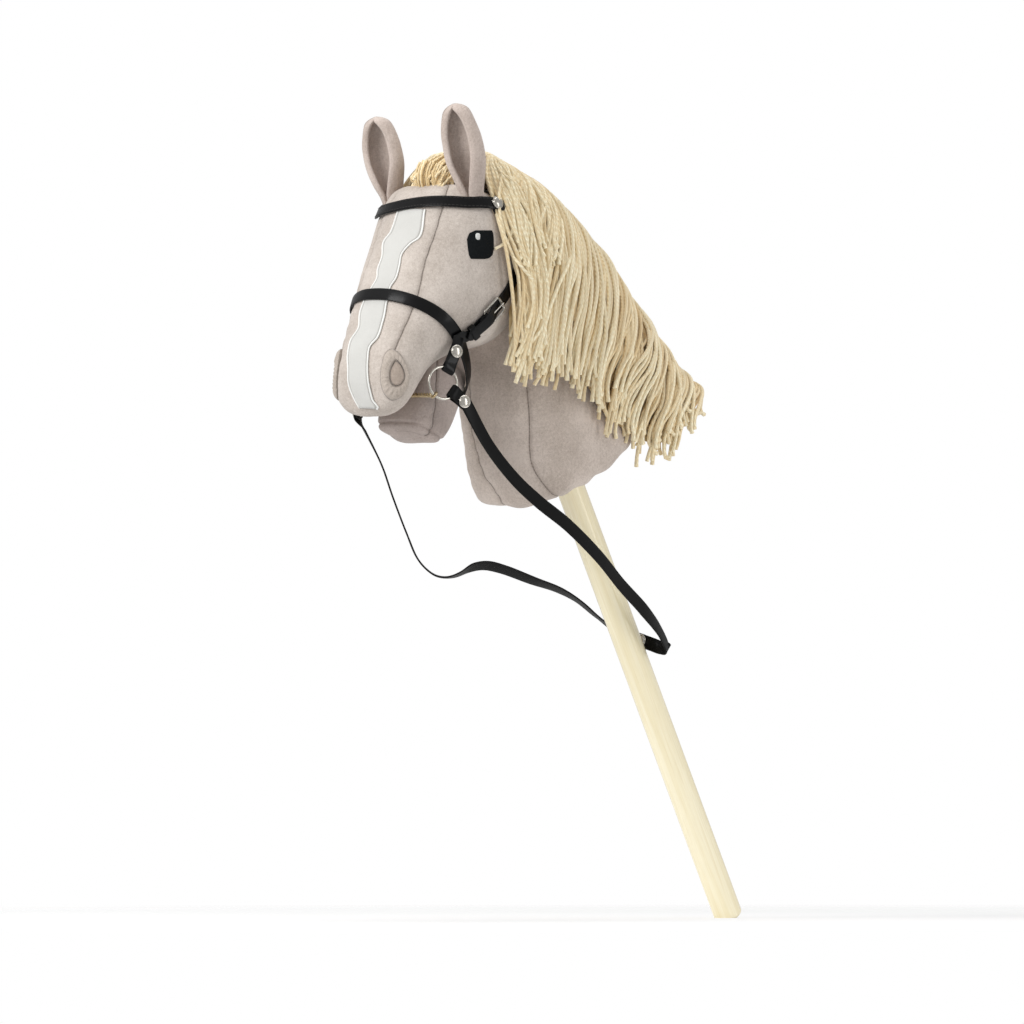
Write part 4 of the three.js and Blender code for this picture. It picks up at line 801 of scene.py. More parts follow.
for side, sign, place_out, turn, splay, height in (
        ("left", 1, 0.048, 16, -4, 0.082), ("right", -1, 0.055, 14, 3, 0.071)):
    axis = face_down * -math.cos(ear_tilt) + face_out * math.sin(ear_tilt)
    axis = unit(axis + np.array((sign * math.tan(math.radians(splay)), 0, 0)))
    front = unit(np.cross((1, 0, 0), axis))
    across = -np.cross(front, axis) * math.cos(math.radians(turn)) - front * math.sin(math.radians(turn))
    open_way = unit(np.cross(across, axis))
    base = head.place(sign * place_out, ear_front, ear_down)
    rings, seam_marks = [], []
    for place in np.linspace(ear_rows[0][0], ear_rows[-1][0], ear_sections):
        half_share, cup_share, gap, roll = row_at(ear_rows, place)
        half, cup = half_share * ear_width, cup_share * ear_cup
        wall = min(ear_wall, half * 0.8)
        shrink = math.sqrt(max(1 - (max(place - ear_tip, 0) / ear_tip_reach) ** 2, 0.02))
        around = np.radians(np.linspace(gap, 360 - gap, ear_points))
        ways = np.column_stack([np.sin(around), np.cos(around)])
        outer = ways * (half, cup)
        inner = (ways * (max(half - wall, half * 0.25), max(cup - wall, cup * 0.25)))[::-1]
        bulge = wall * ear_roll * roll * np.array((0.9, 0.35))
        ring = np.vstack([outer, rolled(outer[-1], inner[0], bulge), inner,
                          rolled(inner[-1], outer[0], bulge * (-1, 1))]) * shrink
        rings.append(base + axis * place * height + ring[:, :1] * across + ring[:, 1:] * open_way)
        seam_marks.append(np.full(len(ring), far_off))
        seam_marks[-1][:ear_points] = (np.arange(ear_points) - ear_seam_point) * half * 6.28 / 60
    rings = np.array(rings)
    uneven = lumps(rings, ear_lump, 11 + sign) * ear_lump_rise
    rings += unit(rings - rings.mean(1, keepdims=True)) * uneven[..., None]
    run = np.repeat(np.linspace(0, height, len(rings)), rings.shape[1])
    piece(f"ear_{side}", rings, ear_plush, "plush", marks={"seam": seam_marks, "seam_along": run})

# Eyes: black satin stitch in close upright rows, a rounded square with a small white glint, both
# standing a little proud of the plush.
thread = Finish("black_thread", Specular_IOR_Level=0.12)
down_eye, over_eye = thread.mark("down"), thread.mark("over")
rows_of_thread = (over_eye + thread.noise(260, 2.0) * 0.0006).wave(0.00065)
thread_blue = thread.mix(dye(6, 9, 11), dye(24, 30, 34), rows_of_thread * 0.25 + thread.noise(700) * 0.5)
thread.surface(Base_Color=thread_blue, Roughness=0.55 + thread.noise(500) * 0.2)
thread.bump(rows_of_thread * 0.5 + down_eye.wave(0.0031) * 0.12, 0.0003)
white_thread = Finish("white_thread", Sheen_Weight=0.2)
white_rows = white_thread.mark("over").wave(0.0006)
white_shade = white_thread.mix(dye(226, 226, 222), dye(250, 250, 247), white_rows * 0.5 + 0.5)
white_thread.surface(Base_Color=white_shade, Roughness=0.6)
white_thread.bump(white_rows, 0.0002)
eye_width, eye_height, eye_seat, eye_rise = 0.0255, 0.025, 0.0002, 0.0011
eye_rows = [(-0.50, 0.18, -0.44), (-0.40, 0.40, -0.49), (-0.18, 0.50, -0.50), (0.15, 0.50, -0.49),
            (0.36, 0.49, -0.43), (0.47, 0.45, -0.28), (0.50, 0.42, -0.10)]
glint_width, glint_height, glint_seat, glint_rise = 0.0042, 0.0058, 0.0013, 0.0006
glint_rows = [(-0.5, 0.22, -0.28), (-0.3, 0.46, -0.5), (0.0, 0.54, -0.5), (0.3, 0.5, -0.42),
              (0.5, 0.25, -0.2)]
eye_centre = np.array((0.217 * head_length, -0.308 * head_depth))
glint_centre = eye_centre + np.array((-0.20 * eye_height, 0.24 * eye_width))
level_turn, patch_edge, patch_root = face_angle - lean, 0.0016, 0.0012


def side_patch(name, rows, centre, width, height, fineness, low, thick, finish, slot, sign):
    """A domed patch on the head's side, from rows of place down, front edge and back edge"""
    rows = np.array(rows)
    start, end = rows[[0, -1], 0]
    down_share = start + (end - start) * (1 - np.cos(np.linspace(0, np.pi, fineness))) / 2
    ahead_share = np.linspace(0, 1, fineness)
    front, back = read(down_share, rows[:, 0], rows[:, 1:]).T[..., None]
    drop = np.repeat(down_share[:, None] * height, fineness, 1)
    wide = (front + (back - front) * ahead_share) * width
    c, s = math.cos(level_turn), math.sin(level_turn)
    point, normal = head.side_at(centre[0] + drop * c + wide * s, centre[1] - drop * s + wide * c, sign)
    edge = np.minimum(np.minimum(ahead_share, 1 - ahead_share) * (front - back) * width,
                      np.minimum(down_share - start, end - down_share)[:, None] * height)
    top = point + normal * (low + thick * dome(edge / patch_edge) + 0.0001)[..., None]
    rings = np.concatenate([top, (point + normal * (low - patch_root))[:, ::-1]], 1)
    piece(name, rings, finish, slot, marks={"down": np.hstack([drop, drop[:, ::-1]]),
                                            "over": np.hstack([wide, wide[:, ::-1]])})


for side, sign in both_sides:
    side_patch(f"eye_{side}", eye_rows, eye_centre, eye_width, eye_height, 60, eye_seat, eye_rise, thread,
               "black_thread", sign)
    side_patch(f"eye_glint_{side}", glint_rows, glint_centre, glint_width, glint_height, 24, glint_seat,
               glint_rise, white_thread, "white_felt", sign)

# Blaze: a strip of white felt down the face with scalloped sides, and a raised white cord
# stitched along both of its edges. Its edges are read on the photograph's pixels.
felt = Finish("white_felt", Sheen_Weight=0.3, Sheen_Roughness=0.5)
fibre, drift = felt.noise(1300, 3.0, 0.7), felt.noise(60, 3.0)
felt_white = felt.mix(dye(190, 189, 184), dye(220, 219, 215), fibre * 0.7 + drift * 0.4 - 0.1)
# Painted shade: the felt turns grey in the shallow groove inside each edge.
felt.surface(Base_Color=felt.mix(felt_white, dye(122, 118, 110), felt.mark("shaded_groove")), Roughness=0.9)
felt.bump(fibre, 0.0006, 0.7)
near_edge = [
    (425.5, 211), (424.8, 215), (422.6, 232), (419.5, 239), (411.4, 244.6), (402.6, 255.2), (400.2, 266.8),
    (396.6, 279.3), (391.2, 288), (387.3, 304.3), (383.8, 322.1), (378.4, 338.2), (370.8, 347.5),
    (368.8, 361.4), (369.6, 382.9), (373.5, 399.5), (379, 408)]
far_edge = [
    (399.5, 210), (398.4, 214), (391.8, 232.9), (384.6, 243), (383.1, 257.9), (378.8, 270.4), (378, 279.3),
    (373, 288.3), (363.6, 306), (360.8, 316), (359.6, 329.3), (351.7, 342.2), (349, 356), (349.4, 370.4),
    (351, 388.2), (356.5, 401), (361, 408.5)]


def edge_on_head(pixels, count):
    """Places along and directions round the head of an edge drawn in pixels, evenly spaced"""
    found = np.array([head.under_pixel(x, y) for x, y in pixels])
    found = found[np.argsort(found[:, 0])]
    found = np.vstack([found, (0.985 * head_length, found[-1, 1])])
    smooth = Course(np.column_stack([found[:, 0] * 100, found[:, 1] / 10, 0 * found[:, 0]])).line
    along = np.linspace(found[0, 0], found[-1, 0], count)
    return along, np.interp(along, smooth[:, 0] / 100, smooth[:, 1] * 10)


blaze_rows, blaze_places, cord_radius, cord_aside = 120, 44, 0.0008, 0.1
felt_rise, felt_dip, felt_seat, felt_root = 0.0009, 0.0005, 0.0003, 0.001
near_along, near_turn = edge_on_head(near_edge, blaze_rows)
far_along, far_turn = edge_on_head(far_edge, blaze_rows)
share = (1 - np.cos(np.linspace(0, np.pi, blaze_places)))[None] / 2
along = near_along[:, None] * (1 - share) + far_along[:, None] * share
turn = near_turn[:, None] * (1 - share) + far_turn[:, None] * share
inward = np.minimum(share, 1 - share)
# A shallow groove inside each edge, also coloured grey as painted shade.
shaded_groove = np.exp(-((inward - 0.05) / 0.016) ** 2) + 0 * along
rise = felt_rise * dome(inward * 14) - felt_dip * shaded_groove
point, normal = head.round_at(along, turn)
over, under = point + normal * (rise + felt_seat)[..., None], point - normal * felt_root
rings = np.concatenate([over, under[:, ::-1]], 1)
piece("blaze", rings, felt, "white_felt", marks={"shaded_groove": np.hstack([shaded_groove, 0 * shaded_groove]) * 0.6})
for name, along, turn in (("near", near_along, near_turn + cord_aside), ("far", far_along, far_turn - cord_aside)):
    point, normal = head.round_at(along, turn)
    wire(f"blaze_cord_{name}", point + normal * cord_radius, cord_radius, white_thread, "white_felt", sides=10,
         replaces=())

# Nostrils: a padded ring of the head's plush sewn down in a teardrop round a flat patch. Close stitches ruck it.
# The patch is coloured darker, and dark lines run along both of the ring's edges and round the patch: all painted
# shade.
nostril_plush = plush("nostril_plush", dye(206, 195, 184), dye(166, 154, 143), dye(96, 84, 74))
# Painted shade: the patch is the head's plush coloured darker, for the shade inside the ring.
shaded_nostril_patch = plush("shaded_nostril_patch", dye(186, 172, 160), dye(152, 138, 126), dye(104, 90, 80))
outer_pixels = [
    (391.5, 349.5), (385.5, 354.5), (382.5, 364), (380.8, 374), (381.5, 385), (385, 395), (391.6, 400.8),
    (400, 398.5), (406.5, 391), (409.5, 380), (408.5, 370), (404, 360.5), (398, 352.5)]
inner_pixels = [
    (396.5, 361.5), (393.2, 366), (391, 372), (390.7, 379), (392.6, 384.5), (396.5, 386.8), (401.5, 385),
    (404.6, 380), (404.8, 374), (402.5, 367.5), (399.8, 363.5)]
nostril_sections, pad_rise, pad_root, inside_rise, inside_seat = 120, 0.0026, 0.0015, 0.0008, 0.0003


def nostril_line(pixels):
    """Evenly spaced places on the head round a closed line drawn in pixels"""
    points = np.array(pixels + pixels[:3])
    line = Course(np.column_stack([points, 0 * points[:, 0]]))
    start, end = np.interp([1, len(pixels) + 1], line.marks, line.reach)
    drawn = read(np.linspace(start, end, nostril_sections, endpoint=False), line.reach, line.line)
    return np.array([head.under_pixel(x, y) for x, y, _ in drawn])


outer_places, inner_places = nostril_line(outer_pixels), nostril_line(inner_pixels)
share = np.linspace(0, 1, 13)[:, None]
turn = np.linspace(0, 2 * np.pi, nostril_sections, endpoint=False)[:, None]
pad = np.sin(np.pi * np.clip(share[:, 0], 0.02, 0.98)) ** 0.6
ruck = 1 + 0.10 * np.sin(turn * 23) + 0.06 * np.sin(turn * 41 + 1.3)
ruck = ruck + 0.35 * np.exp(-(np.sin(turn / 2) / 0.1) ** 2)
places = outer_places[:, None] * (1 - share) + inner_places[:, None] * share
# Painted shade: a dark line along both edges of the ring, carried as seam marks.
crease = np.hstack([np.tile(np.minimum(share, 1 - share)[:, 0] * 0.006, (nostril_sections, 1)),
                    np.zeros((nostril_sections, 2))])
# Painted shade: a dark ring round the patch's edge, where it meets the ring.
patch_rim_shade = np.repeat([0, 0, 0.0015, far_off, far_off], nostril_sections)
for side, sign in both_sides:
    point, normal = head.round_at(places[..., 0], places[..., 1] * sign)
    over = point + normal * (pad_rise * pad * ruck - 0.0001)[..., None]
    under = point[:, [-1, 0]] - normal[:, [-1, 0]] * pad_root
    piece(f"nostril_{side}", np.concatenate([over, under], 1), nostril_plush, "plush", looped=True,
          marks={"seam": crease, "seam_along": 0 * crease})
    point, normal = head.round_at(inner_places[:, 0], inner_places[:, 1] * sign)
    heart, heart_normal = point.mean(0), unit(normal.mean(0))
    rings = [heart + (point - heart) * s + heart_normal * inside_rise * (1 - s * s) + normal * inside_seat
             for s in (1.0, 0.8, 0.55, 0.28)]
    piece(f"shaded_nostril_patch_{side}", [point - normal * pad_root, *rings], shaded_nostril_patch, "plush",
          marks={"seam": patch_rim_shade, "seam_along": 0 * patch_rim_shade}, replaces=())

# Bridle straps: black leather with a rubbed glossy face, a crease along each edge and stitching
# on the browband. One headpiece runs from buckle to buckle over the poll, under the forelock.
bridle_leather = leather("bridle_leather", (8, 8, 9), 0.36, 0.2, strap_width / 2)
strap_seat, patch_seat, patch_thickness = 0.0007, 0.0006, 0.001
layer = strap_thickness + seat_gap
over_patch = patch_seat + patch_thickness + seat_gap
over_rivet_back = 2 * seat_gap + 0.0008 + strap_seat
buckle_place, buckle_length, buckle_wide, buckle_wire, buckle_height = 0.034, 0.021, 0.017, 0.0016, 0.0032
keeper_place, keeper_width, keeper_thick, keeper_corner = 0.017, 0.006, 0.001, 0.0011
billet_reach, fold_tail, tongue_wire, wire_slack = 0.025, 0.009, 0.0015, 0.0007
headpiece_tip, browband_tip, cheekpiece_tip, headpiece_step = 0.006, 0.004, 0.003, 0.0018
# Each row: how far down the head and how far towards its face, in shares of its length and depth
cheek_places = np.array([
    (0.589, -0.414), (0.570, -0.484), (0.505, -0.539), (0.430, -0.586), (0.379, -0.625), (0.304, -0.664),
    (0.201, -0.648), (0.117, -0.516), (0.037, -0.320)]) * (head_length, head_depth)
poll_places = np.array([(0.62, -0.33, -0.04), (0.50, -0.345, -0.14), (0.25, -0.345, -0.20),
                        (0, -0.345, -0.22)])
poll_heart = np.array((0, -0.40, 0.20)) * (head_width, head_depth, head_length)


def over_poll(share, side):
    """The skin met on the way from inside the head to a place over the poll"""
    goal = share * (side * head_width, head_depth, head_length)
    near, far = 0.0, 1.0
    for _ in range(40):
        half = (near + far) / 2
        within = head.inside(*(poll_heart + (goal - poll_heart) * half)) < 1
        near, far = (half, far) if within else (near, half)
    return head.lifted(*(poll_heart + (goal - poll_heart) * near))


crown_places = []
for _, side in both_sides:
    found = [head.side_at(a, f, side) for a, f in cheek_places] + [over_poll(p, side) for p in poll_places]
    crown_places += found if side > 0 else found[::-1][1:]
crown = Course([p for p, _ in crown_places], [n for _, n in crown_places])
crossing, crossing_normal = head.side_at(*cheek_places[-1], 1)
gaps = np.linalg.norm(crown.line[: len(crown.line) // 2] - crossing, axis=1)
browband_place = crown.reach[np.argmin(gaps)]
heel, top_bar = buckle_place, buckle_place + buckle_length - buckle_wire
fold_top = buckle_height + buckle_wire / 2 + seat_gap + strap_thickness
headpiece_heights = np.array([
    (heel - billet_reach, over_rivet_back + layer + strap_thickness),
    (heel - keeper_place, over_rivet_back + layer + keeper_thick), (heel - fold_tail, fold_top - seat_gap),
    (heel, fold_top + seat_gap), (heel + buckle_wire, fold_top + seat_gap),
    (top_bar - keeper_width, strap_seat + seat_gap), (top_bar, strap_seat),
    (browband_place - 4 * rivet_radius, strap_seat), (browband_place - rivet_radius, over_rivet_back),
    (browband_place + 2 * rivet_radius, over_rivet_back), (browband_place + 6 * rivet_radius, strap_seat)])
distance = np.arange(heel - billet_reach, crown.length - heel + billet_reach, headpiece_step)
height = np.interp(np.minimum(distance, crown.length - distance), *headpiece_heights.T)
height = np.convolve(np.pad(height, 2, mode="edge"), np.ones(5) / 5, mode="valid")
point, normal, _ = crown.at(distance, height)
strap("headpiece", point, normal, tip_widths(point, strap_width, headpiece_tip, headpiece_tip),
      bridle_leather)

# Each row: direction round the head in degrees, and share of the head's length down
browband_rows = [(-85, 0.032), (-77, 0.037), (-62, 0.090), (-44, 0.135), (-20, 0.136), (0, 0.122),
                 (25, 0.104), (50, 0.080), (68, 0.050), (77, 0.037), (85, 0.032)]
direction = np.linspace(-85, 85, 110)
band_along = row_at(browband_rows, direction)[:, 0] * head_length
band_low = np.interp(abs(direction), (52, 68), (over_patch, over_rivet_back + layer + seat_gap))
band_point, band_normal = head.round_at(band_along, direction, band_low)
strap("browband", band_point, band_normal, tip_widths(band_point, strap_width, browband_tip, browband_tip),
      bridle_leather)

# Lines swept into round lengths: stitches, and below the mane, forelock and loose strands.
tree = bpy.data.node_groups.new("sweep_lines", "GeometryNodeTree")
sweeper = Nodes(tree)
sockets = {name: tree.interface.new_socket(name, in_out="INPUT", socket_type=f"NodeSocket{kind}").identifier
           for name, kind in (("Geometry", "Geometry"), ("Radius", "Float"), ("Sides", "Int"),
                              ("Material", "Material"))}
tree.interface.new_socket("Geometry", in_out="OUTPUT", socket_type="NodeSocketGeometry")
given = {socket.name: Wire(sweeper, socket) for socket in tree.nodes.new("NodeGroupInput").outputs}
ring = sweeper.add("GeometryNodeCurvePrimitiveCircle", {"mode": "RADIUS"}, 0, Resolution=given["Sides"],
                   Radius=given["Radius"])
ring = sweeper.add("GeometryNodeStoreNamedAttribute", {"data_type": "FLOAT", "domain": "POINT"}, 0, Geometry=ring,
                   Name="around", Value=sweeper.add("GeometryNodeSplineParameter", {}, "Factor"))
swept = sweeper.add("GeometryNodeCurveToMesh", {}, 0, Profile_Curve=ring, Fill_Caps=True,
                    Curve=sweeper.add("GeometryNodeMeshToCurve", {}, 0, given["Geometry"]),
                    Scale=sweeper.add("GeometryNodeInputNamedAttribute", {"data_type": "FLOAT"}, 0, "size"))
swept = sweeper.add("GeometryNodeSetShadeSmooth", {}, 0, swept)
swept = sweeper.add("GeometryNodeRealizeInstances", {}, 0, swept)
swept = sweeper.add("GeometryNodeSetMaterial", {}, 0, Geometry=swept, Material=given["Material"])
tree.links.new(swept.socket, tree.nodes.new("NodeGroupOutput").inputs[0])


def swept_piece(name, strands, radius, finish, replaces=()):
    """Round lengths of one finish as one mesh. A strand is its points and its tone from 0 to 1, painted darker
    near each root and lighter near each tip
    """
    edges, start = [], 0
    marks = {"along": [], "tone_and_shading": [], "size": []}
    for line, shade in strands:
        edges += [(start + k, start + k + 1) for k in range(len(line) - 1)]
        start += len(line)
        reach = reach_along(line)
        left = reach[-1] - reach
        marks["along"] += [*reach]
        # Painted shade near the root and painted light near the tip
        marks["tone_and_shading"] += [*(shade + 0.3 * np.exp(-left / 0.015) - 0.3 * np.exp(-reach / 0.02))]
        marks["size"] += [*((0.88 + 0.24 * shade) * (1 + 0.14 * np.exp(-(left / 0.002) ** 2)))]
    mesh = bpy.data.meshes.new(name)
    mesh.from_pydata(np.vstack([line for line, _ in strands]).tolist(), edges, [])
    add_marks(mesh, marks)
    made = bpy.data.objects.new(f"fine_{name}", mesh)
    bpy.context.scene.collection.objects.link(made)
    sweep = made.modifiers.new("sweep", "NODES")
    sweep.node_group = tree
    for socket, value in (("Radius", radius), ("Sides", 6), ("Material", finish.material)):
        sweep[sockets[socket]] = value
    bpy.context.view_layer.update()
    swept = bpy.data.meshes.new_from_object(made.evaluated_get(bpy.context.evaluated_depsgraph_get()))
    made.modifiers.remove(sweep)
    made.data = swept
    swept.name = name
    settle(made, "horse", replaces)


grey_thread = Finish("grey_thread", Specular_IOR_Level=0.2)
grey_thread.surface(Base_Color=grey_thread.mix(dye(34, 33, 33), dye(74, 72, 70), grey_thread.noise(1800)),
                    Roughness=0.7)
stitch_length, stitch_pitch, stitch_inset, stitch_radius = 0.0021, 0.0033, 0.0017, 0.00026
first_stitch, last_stitch = 0.006, 0.008
band_reach = reach_along(band_point)
band_across = unit(np.cross(np.gradient(band_point, axis=0), band_normal))
stitch_lift = (strap_thickness + np.array((-0.0001, 0.0002, 0.0002, -0.0001)))[:, None]
stitches = []
for sign in (1, -1):
    for start in np.arange(first_stitch, band_reach[-1] - last_stitch, stitch_pitch):
        steps = start + np.array((0, 0.3, 0.7, 1)) * stitch_length
        p, n, a = (read(steps, band_reach, table) for table in (band_point, band_normal, band_across))
        stitches.append((p + n * stitch_lift + a * sign * (strap_width / 2 - stitch_inset), 0.5))
swept_piece("browband_stitches", stitches, stitch_radius, grey_thread)

noseband_rows = np.array([(0.622, -0.547, 0.373), (0.668, -0.688, 0.313), (0.715, -0.789, 0.246),
                          (0.738, -0.838, 0.159), (0.748, -0.848, 0.0)])
noseband_heart = head.place(0, noseband_rows[0][1] * head_depth, noseband_rows[0][0] * head_length)
noseband_turn, noseband_front, noseband_side = 99, 0.528, 0.589
direction = np.linspace(-noseband_turn, noseband_turn, 25)
drop = noseband_front + (noseband_side - noseband_front) * (direction / noseband_turn) ** 2
low = np.interp(abs(direction), (16, 36), (over_patch, strap_seat))
front_point, front_normal = head.round_at(drop * head_length, direction, low)
back_point, back_normal = [], []
for side, rows in ((1, noseband_rows), (-1, noseband_rows[::-1][1:])):
    for a, f, x in rows:
        p = head.place(side * x * head_width, f * head_depth, a * head_length)
        n = p - noseband_heart
        back_point.append(p)
        back_normal.append(unit(n - face_down * (n @ face_down)))
loop = np.vstack([front_point, back_point])
loop_normals = np.vstack([front_normal, back_normal])
ring_course = Course(*(np.vstack([table[-3:], table, table[:3]]) for table in (loop, loop_normals)))
start, end = np.interp([3, 3 + len(loop)], ring_course.marks, ring_course.reach)
nose_point, nose_normal, _ = ring_course.at(np.linspace(start, end, 181)[:-1])
strap("noseband", nose_point, nose_normal, strap_width, bridle_leather, looped=True)

# Cheekpieces: each folded round the buckle's lower bar above and round the mouth ring below,
# and riveted there.
cheek_angle, cheek_rivet_reach = -4, 0.031
cheek_tail, bar_reach = cheek_rivet_reach - ring_radius, buckle_wire / 2 + seat_gap
lower_heights = np.array([
    (-fold_tail, over_patch + layer), (strap_width / 2, over_patch + layer),
    (heel - keeper_place, over_rivet_back), (heel - fold_tail, over_rivet_back / 2),
    (heel, buckle_height - bar_reach - strap_thickness)])
heel_point, heel_normal, heel_ahead = (v[0] for v in crown.at(heel, buckle_height))
top_point, top_normal, _ = (v[0] for v in crown.at(top_bar, buckle_height))
heel_fold, heel_fold_normals = fold_round(heel_point, -heel_ahead, heel_normal, bar_reach, bar_reach, fold_tail,
                                          buckle_wire)
distance = np.linspace(heel - fold_tail / 2, 0, 16)
run, run_normals, _ = crown.at(distance, np.interp(distance, *lower_heights.T) + strap_thickness)
ring_fold, ring_fold_normals = fold_round(
    on_ring(cheek_angle), round_ring(cheek_angle), -ring_axis, ring_reach(strap_width, wire_slack),
    ring_wire / 2 + wire_slack, cheek_tail + plate_radius + seat_gap, cheek_tail + rivet_tail)
cheek_points = np.vstack([heel_fold, run, ring_fold])
cheek_normals = np.vstack([heel_fold_normals, -run_normals, ring_fold_normals])
cheek_widths = tip_widths(cheek_points, strap_width, cheekpiece_tip, cheekpiece_tip)
for side, sign in both_sides:
    flip = (sign, 1, 1)
    strap(f"cheekpiece_{side}", cheek_points * flip, cheek_normals * flip, cheek_widths, bridle_leather)
    rivet(f"cheek_rivet_{side}", (on_ring(cheek_angle, cheek_rivet_reach) + on_strap) * flip, ring_axis * flip,
          rein_grip)
    rivet(f"browband_rivet_{side}", (crossing + crossing_normal * (over_rivet_back + 2 * layer)) * flip,
          crossing_normal * flip, 2 * layer + seat_gap)

# Buckles: a bent wire frame with a tongue that turns on its lower bar, and a leather keeper that
# holds the strap's end down.
frame_up = unit(top_point - heel_point)
frame_across = unit(np.cross(frame_up, heel_normal + top_normal))
frame_out = np.cross(frame_across, frame_up)
bar_half, bar_corner, bar_thick = (buckle_wide - buckle_wire) / 2, 0.0024, buckle_wire * 0.95
side_width, side_start, side_end, eye_start, eye_end = 0.0027, 0.0012, 0.004, 395, 48


def rounded(half, low, high, corner, steps):
    """Places round a rounded oblong, across and up, and the way out at each"""
    places = []
    for way, y, start in ((1, low + corner, -90), (1, high - corner, 0), (-1, high - corner, 90),
                          (-1, low + corner, 180)):
        for t in np.radians(np.linspace(start, start + 90, steps)):
            c, s = math.cos(t), math.sin(t)
            places.append((way * (half - corner) + corner * c, y + corner * s, c, s))
    return np.array(places).T[..., None]


x, y, _, _ = rounded(bar_half, 0, np.linalg.norm(top_point - heel_point), bar_corner, 7)
frame_loop = heel_point + frame_across * x + frame_up * y - frame_out * bar_thick / 2
bar_widths = np.interp(y[:, 0], (side_start, side_end), (buckle_wire, side_width))
tongue_radius = (buckle_wire + tongue_wire) / 2 + seat_gap
tongue_tip = top_point + frame_out * tongue_radius + frame_up * buckle_wire
turns = np.radians(np.linspace(eye_start, eye_end, 26))[:, None]
tongue_line = heel_point + tongue_radius * (frame_up * np.cos(turns) + frame_out * np.sin(turns))
tongue_line = np.vstack([tongue_line, np.linspace(tongue_line[-1], tongue_tip, 12)[1:]])
keeper_point, keeper_normal, keeper_ahead = (v[0] for v in crown.at(heel - keeper_place, 0))
keeper_across = np.cross(keeper_ahead, keeper_normal)
keeper_top = over_rivet_back + layer + keeper_thick + strap_thickness + seat_gap
keeper_low = over_rivet_back - 2 * seat_gap
x, y, c, s = rounded(strap_width / 2 + wire_slack, keeper_low, keeper_top, keeper_corner, 6)
keeper_loop = keeper_point + keeper_across * x + keeper_normal * y
keeper_normals = unit(keeper_across * c + keeper_normal * s)
for side, sign in both_sides:
    flip = (sign, 1, 1)
    frame_outs = np.tile(frame_out * flip, (len(frame_loop), 1))
    flats, _ = strap_rings(frame_loop * flip, frame_outs, bar_widths, bar_thick, True)
    piece(f"buckle_frame_{side}", flats, nickel, "nickel", looped=True)
    wire(f"buckle_tongue_{side}", tongue_line * flip, tongue_wire / 2, nickel, "nickel", sides=14,
         body=f"{side}_tongue")
    strap(f"strap_keeper_{side}", keeper_loop * flip, keeper_normals * flip, keeper_width, bridle_leather,
          thickness=keeper_thick, looped=True)

# Bit: two strands of drawn brass-coloured wire twisted together through the mouth, ending in an
# eye of the same wire round each ring.
brass = Finish("brass_wire", Metallic=1.0)
tarnish = brass.noise(300, 3.0)
brass.surface(Base_Color=brass.mix(dye(146, 122, 84), dye(210, 194, 160), tarnish.rise(0.3, 0.7)),
              Roughness=0.24 + tarnish * 0.2)
bit_angle, bit_eye_radius, bit_eye_wire, strand_radius = 162, 0.0030, 0.0009, 0.0011
twist_pitch, twist_end, bit_end = 0.0072, 0.002, on_ring(bit_angle)
bit_half = bit_end[0] - bit_eye_radius
x = np.linspace(-bit_half, bit_half, 420)
for name, start in (("first", 0.0), ("second", math.pi)):
    turn = x * 2 * math.pi / twist_pitch + start
    offset = strand_radius * np.clip((bit_half - abs(x)) / twist_end, 0, 1)
    line = np.column_stack([x, bit_end[1] + offset * np.cos(turn), bit_end[2] + offset * np.sin(turn)])
    wire(f"bit_strand_{name}", line, strand_radius, brass, "brass_wire", sides=10,
         replaces=["bit"] if name == "first" else [])
axis = round_ring(bit_angle + 90)
first = unit(np.cross(up, axis))
for side, sign in both_sides:
    loop = circle(bit_end, first, np.cross(axis, first), bit_eye_radius, 40)
    wire(f"bit_eye_{side}", loop * (sign, 1, 1), bit_eye_wire, brass, "brass_wire", closed=True, sides=10,
         replaces=())

# Mane: cut lengths of soft cream yarn sewn to a tape down the crest. They fall over both sides of
# the neck in several layers and end blunt. Each strand is two plies twisted together.
yarn = Finish("cream_yarn", Sheen_Weight=0.25, Sheen_Roughness=0.4)
ply = (yarn.mark("along") * (1 / 0.0052) + yarn.mark("around") * 2.0).wave(1.0)
fuzz = yarn.noise(1500, 3.0, 0.7)
strand_colour = yarn.mix(dye(218, 186, 130), dye(255, 245, 214), yarn.mark("tone_and_shading") * 0.9 + fuzz * 0.2 - 0.02)
# Painted shade: the colour darkens in the grooves between the plies.
yarn.surface(Base_Color=yarn.mix(dye(222, 192, 138), strand_colour, ply * 0.25 + 0.8), Roughness=0.85)
yarn.bump(ply * 0.6 + fuzz * 0.3, 0.0004, 0.8)
mane_foot, mane_height, mane_depth, mane_width = 0.402, 0.345, 0.186, 0.158
# Each row: shares of the height, the front, the back and half the width
mane_rows = [
    (0, 0.553, 0.674, 0.215), (0.017, 0.453, 0.842, 0.278), (0.070, 0.326, 0.968, 0.329),
    (0.139, 0.189, 0.900, 0.380),
    (0.197, 0.095, 0.853, 0.418), (0.293, 0.079, 0.784, 0.468), (0.342, 0.042, 0.768, 0.481),
    (0.377, -0.105, 0.753, 0.490), (0.446, -0.250, 0.726, 0.500), (0.565, -0.310, 0.663, 0.500),
    (0.649, -0.250, 0.589, 0.494), (0.742, -0.190, 0.505, 0.475), (0.835, -0.110, 0.400, 0.443),
    (0.896, -0.050, 0.295, 0.399), (0.945, -0.020, 0.216, 0.342), (0.986, 0.032, 0.142, 0.241),
    (1.0, 0.063, 0.105, 0.158)]
curtain_power, mane_yarn, forelock_yarn, loose_yarn = 1.4, 0.0017, 0.0012, 0.0013

